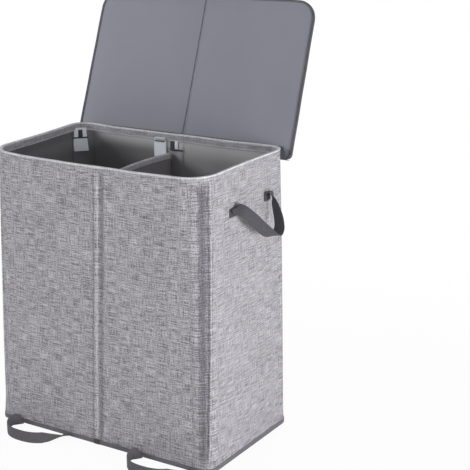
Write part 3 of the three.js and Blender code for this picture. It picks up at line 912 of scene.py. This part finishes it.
# %% Lay the base
def rounded_half_width(y, low, high, half, front, rear):
    """Half the width of a rounded rectangle at y: less by the corner circle's rise where y
    is within a radius of either end."""
    y = np.asarray(y, float)
    width = np.full(y.shape, half)
    for radius, edge in ((front, y - low), (rear, high - y)):
        within = np.clip(radius - edge, 0, radius)
        width = np.minimum(width, half - radius + np.sqrt(radius**2 - within**2))
    return width


def rounded_plate(half, low, high, front, rear, across, rows):
    """x and y of a rounded rectangle on a grid, with rows crowded towards both ends."""
    t = (1 - np.cos(np.linspace(0, np.pi, rows))) / 2
    y = low + (high - low) * t
    x = across[:, None] * rounded_half_width(y, low, high, half, front, rear)[None, :]
    return x, np.broadcast_to(y, x.shape)


def thin_plate(x, y, low, high):
    """Upper and lower faces over a grid of x and y, joined into one closed grid."""
    return np.concatenate([stacked(x, y, high), stacked(x, y, low)[:, ::-1]], 1)


BASE_HALF_WIDTH, BASE_HALF_DEPTH, BASE_RADII = 0.2982, 0.1732, (0.027, 0.040)
x, y = rounded_plate(BASE_HALF_WIDTH, -BASE_HALF_DEPTH, BASE_HALF_DEPTH, *BASE_RADII,
                     np.linspace(-1, 1, 70), 50)
rise = np.clip(0.0004 * np.sin(40 * x) * np.sin(33 * y), 0, None)
points = thin_plate(x, y, 0.0003, 0.0022 + rise)
base = grid_piece("base_cloth", points, base_lining, points[..., :2])
enlist(base, "base")
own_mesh(base)
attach(base, "base_and_back")
print("base laid")

# %% [markdown]
# ## The divider
# The divider is a board in a sleeve of lining cloth with a linen hem over its top edge. It
# isn't straight: its back end stands left of its front end, and its middle bows left.
# So its middle line is a function of y, and everything on it is carried along that line.

# %% Make the divider
DIVIDER_HALF, DIVIDER_TOP = 0.1618, 0.617
SLEEVE_RADII = (0.00235, 0.00155)


def divider_line(y):
    """x of the divider's middle line: a slant and a parabola, and a second parabola that
    starts in front of the middle and ends at the front pivot."""
    t = y / DIVIDER_HALF
    forward = np.clip(-(t + 0.25) / 0.75, 0, 1.1)
    return -0.036 - 0.015 * t + 0.019 * t**2 - 0.018 * forward**2


def on_divider(x, y, z):
    """Offsets x from the middle line, at y, with heights less the sag of the divider's top
    edge, a parabola along it."""
    sag = 0.001 * np.clip(1 - (y / DIVIDER_HALF) ** 2, 0, 1) * smooth_step(z, 0.4, 0.6)
    return stacked(divider_line(y) + x, y, z - sag)


def divider_piece(name, node, finish, outline, low, high, count):
    """An outline in x and height carried along the middle line from low to high."""
    y, x, z = np.linspace(low, high, count)[:, None], outline[None, :, 0], outline[None, :, 1]
    points = on_divider(x, y, z)
    piece = grid_piece(name, settle(points), finish, points[..., 1:])
    enlist(piece, node)
    return piece


def racetrack(along, around):
    """Rows of x, y and distance past the end, round a straight line with half circles of
    radius 1 about both of its ends."""
    y = np.linspace(-DIVIDER_HALF, DIVIDER_HALF, along)
    turn = np.linspace(0, np.pi, around)
    right = stacked(1.0, y, 0.0)
    back = stacked(np.cos(turn), DIVIDER_HALF, np.sin(turn))[1:-1]
    return np.concatenate([right, back, -right, -back])


x, y, past = racetrack(60, 9).T[..., None]
z = np.linspace(0.0028, DIVIDER_TOP - 0.0010, 60)[None]
outer, inner = (on_divider(x * radius, y + past * radius, z) for radius in SLEEVE_RADII)
points = settle(np.concatenate([outer, inner[:, ::-1]], 1))
sleeve = grid_piece("divider_sleeve", points, sleeve_lining_painted_light, points[..., 1:], True)
enlist(sleeve, "divider_cover")

HEM_END = DIVIDER_HALF + 0.0030
fold = drawn_outline(
    [(-0.0031, 0.6050), (-0.0031, 0.6120), (-0.0027, 0.6157), (0, 0.6171),
     (0.0027, 0.6157), (0.0031, 0.6120), (0.0031, 0.6050)], 28, 0.0008)
panel = upright_outline(0.0, 0.0024, 0.0040, DIVIDER_TOP - 0.0020, 30)
dressed = [sleeve, divider_piece("divider_stiffener", "divider_board", card, panel,
                                 -DIVIDER_HALF + 0.006, DIVIDER_HALF - 0.006, 40)]
for name, finish, outline in (("divider_hem_cloth", divider_linen_painted_light, fold),
                              ("divider_piping", piping_linen_painted_highlight,
                               rod(-0.0012, 0.6172, 0.0013, 0.0013, 14))):
    dressed.append(divider_piece(name, "divider_hem", finish, outline,
                                 -HEM_END, HEM_END, 70))
for piece in dressed:
    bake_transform(piece)
print("divider's back end at x", round(float(divider_line(DIVIDER_HALF)), 4))

# %% Sew the divider's ends to the front and the back
tape = upright_outline(0.0, 0.0010, 0.0030, 0.6040, 24)
for name, low, high, body in (("front", -0.1706, -0.1642, "front_wall"),
                              ("back", 0.1642, 0.1706, "base_and_back")):
    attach(divider_piece(f"divider_tape_{name}", f"divider_seam_{name}",
                          bin_lining, tape, low, high, 5), body)
print("two seam tapes")

# %% [markdown]
# ## The lid
# The lid is made shut, in its own coordinates with the hinge line as the origin, and then
# turned open about that line, because a lid's shape is far easier to write down flat. Its
# two boards lie inside, and the lining is drawn into the fold between them.

# %% Turn the lid open
HINGE = np.array([0, 0.177, 0.654])
LID_SETTLING = np.array([-0.0095, -0.0039, -0.0088])
LID_ANGLE = np.radians(-110)
LID_HALF, LID_FRONT, LID_REAR = 0.299, -0.360, 0.008
LID_REAR_RADIUS = 0.012


def lid_open(points):
    """Widens the left board a little and the lid as a whole towards its hinge, leans the fold
    by a few millimetres, turns points about the hinge line, which runs along x, and moves
    them to it and then as the strip that holds the lid gives."""
    x, y, z = np.moveaxis(points, -1, 0)
    t = (y - LID_FRONT) / (LID_REAR - LID_FRONT)
    x = x * np.where(x < 0, 1.023 + 0.020 * t, 0.997 + 0.0105 * t) - 0.003 * (1 - t)
    cos, sin = np.cos(LID_ANGLE), np.sin(LID_ANGLE)
    return stacked(x, cos * y - sin * z, sin * y + cos * z) + HINGE + LID_SETTLING


def lid_plate(name, finish, x, y, low, high):
    """A thin plate made flat and turned open with the lid."""
    points = thin_plate(x, y, low, high)
    return grid_piece(name, lid_open(points), finish, points[..., :2])


def drawn_in(x, y):
    """Share of the puff left near the bound edge and near the fold."""
    edge = np.minimum(LID_HALF - np.abs(x), np.minimum(y - LID_FRONT, LID_REAR - y))
    return smooth_step(edge, 0.006, 0.035) * smooth_step(np.abs(x), 0.003, 0.02)


def lining_shape(x, y):
    """The lining puffs away from the boards and is pulled up into the fold between them. A
    low ridge stands beside the fold."""
    waves = 1 + 0.35 * np.sin(11 * x + 2) * np.sin(13 * y)
    fold = 0.0034 * bell(x, 0, 0.0020) - 0.0010 * bell(x, 0.0044, 0.0015)
    return fold - 0.0011 * drawn_in(x, y) * waves


def cover_shape(x, y):
    """The outer cloth puffs the other way and dips into the fold."""
    return -0.0014 * bell(x, 0, 0.0035) + 0.0009 * drawn_in(x, y)


INSET, BOARD_INSET = 0.0016, 0.005
across = np.unique(np.concatenate([np.linspace(-1, 1, 90), np.linspace(-0.02, 0.02, 60)]))
x, y = rounded_plate(LID_HALF - INSET, LID_FRONT + INSET, LID_REAR - INSET, CORNER - INSET,
                     LID_REAR_RADIUS - INSET, across, 80)
for name, node, slot, finish, shape, low, high, beneath in (
        ("lid_lining_cloth", "lid_lining", "lid_lining", lid_lining, lining_shape, 0.0144,
         0.0151, "lid_board_left"),
        ("lid_cover_cloth", "lid_cover", "cloth", linen_cover, cover_shape, 0.0182, 0.0192,
         "lid_board_right")):
    lift = shape(x, y)
    piece = lid_plate(name, finish, x, y, low + lift, high + lift)
    enlist(piece, node, "lid")
for side, sign in (("left", -1), ("right", 1)):
    x, y = rounded_plate(LID_HALF - BOARD_INSET, LID_FRONT + BOARD_INSET, LID_REAR - 0.004,
                         0.040, 0.008, sign * np.linspace(0.016, 1, 40), 50)
    board = lid_plate(f"lid_stiffener_{side}", card, x, y, 0.0156, 0.0177)
    enlist(board, f"lid_board_{side}", "lid")
print("lid leans", round(float(lid_open(np.array([0, LID_FRONT, 0.013]))[2]), 3), "m high")

# %% [markdown]
# A tape is folded round the lid's whole edge. It is a closed ring: the tape's outline, a
# sideways U, carried round the lid's rounded rectangle.

# %% Bind the lid's edge
def lid_edge_line(count):
    """Even points round the lid's outline, the outward direction at each, and how far along
    the outline it lies."""
    corners = ((LID_HALF, LID_REAR, LID_REAR_RADIUS), (-LID_HALF, LID_REAR, LID_REAR_RADIUS),
               (-LID_HALF, LID_FRONT, CORNER), (LID_HALF, LID_FRONT, CORNER))
    rows = []
    for quarter, (x, y, radius) in enumerate(corners):
        angle = np.linspace(0, np.pi / 2, 13) + quarter * np.pi / 2
        way = stacked(np.cos(angle), np.sin(angle))
        centre = np.array([x - np.sign(x) * radius, y - np.sign(y) * radius])
        rows.append(np.concatenate([centre + radius * way, way], 1))
    line = np.concatenate(rows + [rows[0][:1]])
    length = length_along(line[:, :2])
    even = np.linspace(0, length[-1], count, endpoint=False)
    line = read_off(even, length, line)
    return line[:, :2], unit(line[:, 2:]), even


TAPE_U = drawn_outline(
    [(0.0056, 0.0136), (0.0020, 0.0132), (0.0006, 0.0139), (0.0004, 0.0167),
     (0.0006, 0.0196), (0.0020, 0.0202), (0.0080, 0.0199)], 34, 0.0009)[None]
lid_edge, lid_outward, distance = lid_edge_line(360)
inset = TAPE_U[..., 0] + 0.0002 * np.sin(distance * 55)[:, None]
along, behind = (lid_edge[:, k, None] - lid_outward[:, k, None] * inset for k in (0, 1))
points = stacked(along, behind, TAPE_U[..., 1])
uv = stacked(TAPE_U[..., 0] + 2 * TAPE_U[..., 1], distance[:, None])
enlist(grid_piece("lid_edge_tape", lid_open(points), lid_tape, uv, True), "lid_binding",
       "lid")
print("tape round the lid,", round(float(distance[-1]), 2), "m")

# %% [markdown]
# The lid hangs on a strip of the same tape. One edge is sewn to the back wall below the rim
# and the other to the lid, and the cloth between sags. It crosses the hinge, so it blends
# from the wall to the lid.

# %% Hang the lid on its strip
lid_low, lid_high = (lid_open(np.array([0, LID_REAR + 0.0009, z])) for z in (0.0128, 0.0205))
strip = drawn_outline([(0.1759, 0.6630), (0.1759, 0.6550), (0.1779, 0.6468),
                       tuple(lid_low[1:]), tuple(lid_high[1:])], 30, 0.0010)
share = np.concatenate([np.linspace(1, 0, 30), np.linspace(0, 1, 30)])
x = np.linspace(-0.2850, 0.2850, 70)
wall_top = stacked(x, DEPTH / 2, 0.660)
shift = (settle(wall_top) - wall_top)[:, None, :] * share[None, :, None]
shift[..., 2] = 0
points = stacked(x[:, None], strip[None, :, 0], strip[None, :, 1]) + shift
hinge_strip = grid_piece("hinge_strip_cloth", points, lid_tape, points[..., [2, 0]])
enlist(hinge_strip, "lid_hinge_strip")
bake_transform(hinge_strip)
print("hinge strip hung")

# %% [markdown]
# ## Webbing straps
# A strap is a flat outline with eased edges, carried along a path. At each step it needs
# the direction of its width as well as of its path, and that is what makes it twist.

# %% Carry a strap along a path
STRAP_THICKNESS = 0.0016


def strap(name, path, across, width, finish):
    """At each point of the path, the width's direction square to the path, the face's
    direction square to both, and the outline laid out in those two."""
    tangent = unit(np.gradient(path, axis=0))
    side = unit(across - np.einsum("ij,ij->i", across, tangent)[:, None] * tangent)
    face = np.cross(side, tangent)
    s = np.linspace(-1, 1, 13) * width / 2
    eased = np.clip((np.abs(s) - width / 2 + 0.0012) / 0.0012, 0, 1)
    f = STRAP_THICKNESS / 2 * (1 - 0.6 * eased)
    outline = np.concatenate([stacked(s, f), stacked(s, -f)[::-1]])[None]
    points = (path[:, None] + side[:, None] * outline[..., :1]
              + face[:, None] * outline[..., 1:])
    return grid_piece(name, points, finish,
                      stacked(outline[..., 0], length_along(path)[:, None]))


print("strap helper ready")

# %% [markdown]
# ## Side handles
# Each end is sewn flat on the wall pointing up. The strap then curls over forwards on a
# slant, which sends it off along the wall, hangs, turns at its lowest point and climbs to
# the other end. The points are the solid's, moved down and back a little as in the photo.

# %% Hang the side handles
HANDLE_SPAN, HANDLE_TOP, HANDLE_DROP, HANDLE_REACH = 0.148, 0.581, 0.084, 0.040
HANDLE_BACK = 0.010
LOOP_SHARES = np.array([
    [-0.41, 0.5, -0.14, 0.6, 0.05, 0.8], [-0.28, 0.66, -0.36, 0.58, 0.25, 0.75],
    [-0.16, 0.76, -0.57, 0.53, 0.45, 0.68], [-0.03, 0.87, -0.78, 0.44, 0.62, 0.6],
    [0.1, 0.95, -0.94, 0.3, 0.85, 0.4], [0.22, 1, -1, 0.1, 0.98, 0.1],
    [0.32, 0.97, -0.88, -0.1, 0.99, 0], [0.37, 0.87, -0.69, -0.2, 0.97, 0.05],
    [0.42, 0.66, -0.43, -0.35, 0.93, 0.1], [0.46, 0.45, -0.2, -0.6, 0.8, 0.15]])


def turned_about(vector, axis, angle):
    """Rodrigues' formula: a vector turned about an axis of length one."""
    return (vector * np.cos(angle) + np.cross(axis, vector) * np.sin(angle)
            + axis * (axis @ vector) * (1 - np.cos(angle)))


def handle_end(slant, steps=5):
    """Rows of point and width's direction: up the flat foot, then over the curl, whose axis
    slants more with each step."""
    point = np.array([-HANDLE_SPAN / 2, -0.0011, HANDLE_TOP - 0.020])
    width, heading = np.array([1.0, 0, 0]), np.array([0, 0, 1.0])
    rows = [(*(point + 0.015 * k / steps * heading), *width) for k in range(steps + 1)]
    point = np.array(rows[-1][:3])
    step = np.radians(150) / steps
    for k in range(steps):
        lean = np.radians(slant) * k / (steps - 1)
        axis = width * np.cos(lean) + heading * np.sin(lean)
        heading = turned_about(heading, axis, step / 2)
        point = point + 0.005 * step * heading
        heading = turned_about(heading, axis, step / 2)
        width = turned_about(width, axis, step)
        rows.append((*point, *width))
    return np.array(rows)


def side_handle(side, sign):
    """The whole loop, from the front foot's rows through the hanging ones to the rear's. The
    sign of x turns the right handle into the left one."""
    scale = [HANDLE_SPAN, -HANDLE_REACH, HANDLE_DROP, 1, -1, 1]
    hanging = LOOP_SHARES * scale + [0, 0, HANDLE_TOP, 0, 0, 0]
    rear = handle_end(15)[::-1] * [-1, 1, 1, -1, 1, 1]
    front = handle_end(38) + [0.003, 0, -0.003, 0, 0, 0]
    rows = curve_through(np.concatenate([front, hanging, rear]), 220)
    path = turned(rows[:, :3] + [HANDLE_BACK, -WIDTH / 2, 0], 1) * [sign, 1, 1]
    across = turned(rows[:, 3:], 1) * [sign, 1, 1]
    clear = smooth_step(np.abs(path[:, :1]), WIDTH / 2 + 0.004, WIDTH / 2 + HANDLE_REACH)
    path = path + (settle(path) - path) * (1 - 0.7 * clear)
    piece = strap(f"side_strap_{side}", path, across, 0.027, strap_webbing)
    enlist(piece, f"side_handle_{side}")
    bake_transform(piece)


side_handle("right", 1)
side_handle("left", -1)
print("side handles hung")

# %% [markdown]
# ## Floor handles
# The two loops at the front's foot lie flat where they are sewn on, twist, and stand on
# their edges in between. Seen from above each is a rounded arch, a superellipse between an
# ellipse and a rectangle.

# %% Stand the floor handles
FLOOR_HALF_SPAN, FLOOR_REACH = 0.0745, 0.0800


def floor_handle(side, centre):
    """x = cos^(2/p) and y = sin^(2/p) of an angle, with p = 2.4, on a half turn, the left end
    drawn in towards the middle by the square of what is left to its widest place. The width
    turns from lying along x to standing up. The sine of that turn grows evenly with y, so
    the outer edge climbs in a straight line, and the strap's middle rises with it."""
    angle = np.linspace(np.pi, 0, 81)
    power = 2 / 2.4
    x = FLOOR_HALF_SPAN * np.sign(np.cos(angle)) * np.abs(np.cos(angle)) ** power
    out = np.abs(np.sin(angle)) ** power
    left = x < 0
    x = x - 0.004 * out + 0.008 * left * np.clip(1 - out / 0.5, 0, 1) ** 2
    upright = np.arcsin(np.clip(0.10 + 0.45 * left + (1.15 + 0.75 * left) * out, 0, 0.9999))
    rows = stacked(centre + x, -DEPTH / 2 - 0.0017 - FLOOR_REACH * out,
                   0.0018 + 0.0128 * np.sin(upright), np.sign(x) * np.cos(upright),
                   0.1 * np.sin(2 * upright), np.sin(upright))
    rows = curve_through(rows[::2], 200)
    piece = strap(f"floor_strap_{side}", rows[:, :3], rows[:, 3:], 0.0270, floor_webbing_painted_light)
    enlist(piece, f"floor_handle_{side}")
    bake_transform(piece)


floor_handle("left", -0.164)
floor_handle("right", 0.183)
print("floor handles stand")

# %% [markdown]
# ## Tabs for the liner bags
# Each bin's liner bag hangs on two tabs. A tab is a short piece of pale webbing folded
# double, its ends caught under the hem. The one in the back-left corner and the one on the
# right wall have a dark bar across them and a narrow dark strap above the bar. The two
# beside the divider differ: one has a glossy clip at its top, and the other is hardly more
# than its bar. So one helper carries an outline across a tab, and each tab is a short list.

# %% Carry a tab's outlines across its width
def tab_part(name, outline, low, high, finish, node, body, place):
    """Depths and heights of an outline at places from low to high across the tab. The place
    function puts width, depth and height on the wall."""
    x = np.linspace(low, high, 14)[:, None]
    depth, z = outline.T[:, None]
    piece = grid_piece(name, place(x, depth, z), finish, stacked(x, length_along(outline)))
    enlist(piece, node, body)


def folded(low, high, depth=0.0058):
    """A strip down from a height, round a narrow fold and up again."""
    half = (low + high) / 2
    return drawn_outline(
        [(depth, high), (depth, half), (depth, low + 0.0045),
         (depth + 0.0005, low + 0.0004), (depth + 0.0015, low + 0.0004),
         (depth + 0.0020, low + 0.0045), (depth + 0.0022, half),
         (depth + 0.0012, high)], 60, 0.0010)


def bar(depth, z, thick, tall):
    """The outline of a small bar, sixteen points round an ellipse."""
    return rod(depth, z, thick, tall, 16)


def on_wall_at(wall, centre):
    return lambda x, depth, z: on_wall(wall, x + centre, depth, z)


def across_back_left(x, depth, z):
    """A plane across the back-left corner, square to the line through the corner, with the
    tab's foot swung a little wider than its top."""
    wider = 1 + 0.25 * np.clip((0.640 - z) / 0.045, 0, 1)
    points = stacked(x * wider + 0.0884, depth - 0.31616, z)
    return settle(turned(points, 2.5)) + np.array([-0.001, -0.007, 0])


hook = drawn_outline(
    [(0.0086, 0.6300), (0.0086, 0.6400), (0.0080, 0.6470), (0.0062, 0.6520)], 20, 0.0008)
print("tab helpers ready")

# %% Fold the tabs
def side_tab(foot):
    """Webbing, bar and hook of a tab at a bin's side; only its foot's height differs."""
    return (("", folded(foot, 0.6540), -0.016, 0.016, tab_webbing),
            ("_bar", bar(0.0094, 0.6300, 0.0012, 0.0017), -0.018, 0.018, dark_plastic),
            ("_hook", hook, -0.0055, 0.0055, strap_webbing))


TABS = (
    ("tab_left_corner", "left_bin_side", "base_and_back", across_back_left,
     side_tab(0.5955)),
    ("tab_right_side", "right_bin_side", "right_wall", on_wall_at(RIGHT, 0.110),
     side_tab(0.6060)),
    ("tab_left_of_divider", "left_bin_middle", "base_and_back", on_wall_at(BACK, 0.060), (
        ("", folded(0.6050, 0.6520), -0.0165, 0.0165, tab_webbing),
        ("_clip", bar(0.0098, 0.6510, 0.0018, 0.0042), -0.0150, 0.0110, clear_plastic),
        ("_bar", bar(0.0096, 0.6445, 0.0014, 0.0012), -0.0130, 0.0140, dark_plastic))),
    ("tab_right_of_divider", "right_bin_middle", "base_and_back", on_wall_at(BACK, 0.014), (
        ("", folded(0.6290, 0.6500), -0.0040, 0.0040, tab_webbing),
        ("_bar", bar(0.0090, 0.6270, 0.0014, 0.0019), -0.0170, 0.0170, dark_plastic),
        ("_hood", folded(0.6270, 0.6520, 0.0054), 0.0065, 0.0165, strap_webbing))))
for tab, bin_side, body, place, parts in TABS:
    for part, outline, low, high, finish in parts:
        node = ("tab_" if part in ("", "_hood") else "tab_bar_") + bin_side
        tab_part(tab + part, outline, low, high, finish, node, body, place)
print(len(TABS), "tabs folded")

# %% [markdown]
# ## Stitches
# Rows of thread hold the hem and the lid's tape. A stitch is a small spindle, and all
# stitches of a row are worked out in one array and kept as one piece.

# %% Sew a row of stitches
SPINDLE = (5, 6)
STITCH_LENGTH, STITCH_RADIUS, STITCH_STEP = 0.0028, 0.00042, 0.0045


def stitch_row(name, line, outward, body):
    """Six-sided spindles along a line: at each place a short tube whose radius is the square
    root of a parabola along it, half sunk in the cloth."""
    length = length_along(line)
    places = np.arange(STITCH_STEP / 2, length[-1], STITCH_STEP)
    at = read_off(places, length, line)[:, None, None]
    behind, ahead = (read_off(places + step, length, line) for step in (-0.0005, 0.0005))
    way = unit(ahead - behind)
    up = unit(read_off(places, length, outward))
    side = np.cross(way, up)
    t = np.linspace(-0.98, 0.98, SPINDLE[0])[:, None]
    angle = np.linspace(0, 2 * np.pi, SPINDLE[1], endpoint=False)
    radius = STITCH_RADIUS * np.sqrt(1 - t**2)
    local = stacked(STITCH_LENGTH / 2 * t, radius * np.cos(angle), radius * np.sin(angle))
    points = (at + way[:, None, None] * local[None, ..., :1]
              + up[:, None, None] * local[None, ..., 1:2]
              + side[:, None, None] * local[None, ..., 2:])
    first = SPINDLE[0] * SPINDLE[1] * np.arange(len(places))[:, None, None]
    faces = (grid_faces(*SPINDLE)[None] + first).reshape(-1, 4)
    piece = make_piece(name, points, faces, thread)
    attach(piece, body)


for k, wall in enumerate(WALLS):
    half = LENGTH[k] / 2 - CORNER - 0.002
    x = np.linspace(-half, half, 60)
    outward = turned(np.array([[0.0, -1.0, 0.0]]), k).repeat(60, 0)
    z = np.full(60, 0.6548)
    stitch_row(f"stitches_outer_{wall}", on_wall(k, x, cover_relief(k, x, z) - 0.0001, z),
               outward, BODY[k])
    z = np.full(60, HEM_FOOT + 0.0022)
    stitch_row(f"stitches_inner_{wall}", on_wall(k, x, 0.0075, z), -outward, BODY[k])
origin = np.zeros((len(lid_edge), 3))
down = lid_open(origin - [0, 0, 1]) - lid_open(origin)
for name, inset, height, out in (("under", 0.0044, 0.0130, down),
                                 ("over", 0.0062, 0.0205, -down)):
    x, y = (lid_edge - lid_outward * inset).T
    stitch_row(f"stitches_lid_{name}", lid_open(stacked(x, y, height)), out, "lid")
print("stitches sewn")

# %% [markdown]
# ## Light, floor and background
# The hamper stands in soft, even light from all round. A low lamp on its right makes the side
# wall paler than the front, one from the left reaches into the bins, and a third keeps the
# back from going dull. The floor is white to the camera but keeps a little of the shadow.

# %% Light the scene
WHITE = (1, 1, 1, 1)
SKY_STRENGTH = 0.36


def lamp(name, place, target, size, power):
    """A square lamp that faces a point."""
    data = bpy.data.lights.new(name, "AREA")
    data.size, data.energy = size, power
    made = bpy.data.objects.new(name, data)
    way = np.array(target) - np.array(place)
    made.location = place
    made.rotation_euler = (np.arccos(-way[2] / np.linalg.norm(way)), 0,
                           np.arctan2(way[1], way[0]) - np.pi / 2)
    bpy.context.scene.collection.objects.link(made)


lamp("lamp_left", (-3.2, -2.2, 2.0), (0, 0, 0.4), 1.3, 72)
lamp("lamp_right", (2.7, -0.8, 0.5), (0, 0, 0.35), 0.9, 52)
lamp("lamp_back", (-0.8, 3.2, 1.5), (0, 0, 0.45), 1.3, 50)

world = bpy.data.worlds.new("studio")
bpy.context.scene.world = world
world.use_nodes = True
air = world.node_tree
skies = (air.nodes["Background"], air.nodes.new("ShaderNodeBackground"))
for sky, strength in zip(skies, (SKY_STRENGTH, 1.0)):
    sky.inputs["Color"].default_value = WHITE
    sky.inputs["Strength"].default_value = strength
rays = air.nodes.new("ShaderNodeLightPath")
choose = air.nodes.new("ShaderNodeMixShader")
air.links.new(rays.outputs["Is Camera Ray"], choose.inputs[0])
for k, sky in enumerate(skies):
    air.links.new(sky.outputs[0], choose.inputs[k + 1])
air.links.new(choose.outputs[0], air.nodes["World Output"].inputs["Surface"])
print("three lamps and an even sky")

# %% Lay the floor
FLOOR = 6
floor_mesh = bpy.data.meshes.new("floor")
floor_mesh.from_pydata([(-FLOOR, -FLOOR, 0), (FLOOR, -FLOOR, 0), (FLOOR, FLOOR, 0),
                        (-FLOOR, FLOOR, 0)], [], [(0, 1, 2, 3)])
floor = bpy.data.objects.new("floor", floor_mesh)
bpy.context.scene.collection.objects.link(floor)
paper = Finish("floor_paper", Base_Color=(0.92, 0.92, 0.92, 1), Roughness=0.9)
glow = paper.node("ShaderNodeEmission", None, {"Color": WHITE, "Strength": 1.0})
spot = paper.place("Object")
distance = paper.node("ShaderNodeVectorMath", {"operation": "LENGTH"}, {0: spot}, "Value")
open_floor = paper.node("ShaderNodeMapRange", {"interpolation_type": "SMOOTHSTEP"},
                        {"Value": distance, "From Min": 0.7, "From Max": 1.9,
                         "To Min": 0.94, "To Max": 1.0})
seen = paper.node("ShaderNodeLightPath", output="Is Camera Ray") * open_floor
body_shader = Field(paper, paper.shader.outputs[0])
mixed = paper.node("ShaderNodeMixShader", None, {0: seen, 1: body_shader, 2: glow})
paper.tree.links.new(mixed.socket, paper.tree.nodes["Material Output"].inputs["Surface"])
floor_mesh.materials.append(paper.material)
bpy.context.scene.view_settings.view_transform = "Standard"
print("floor laid")
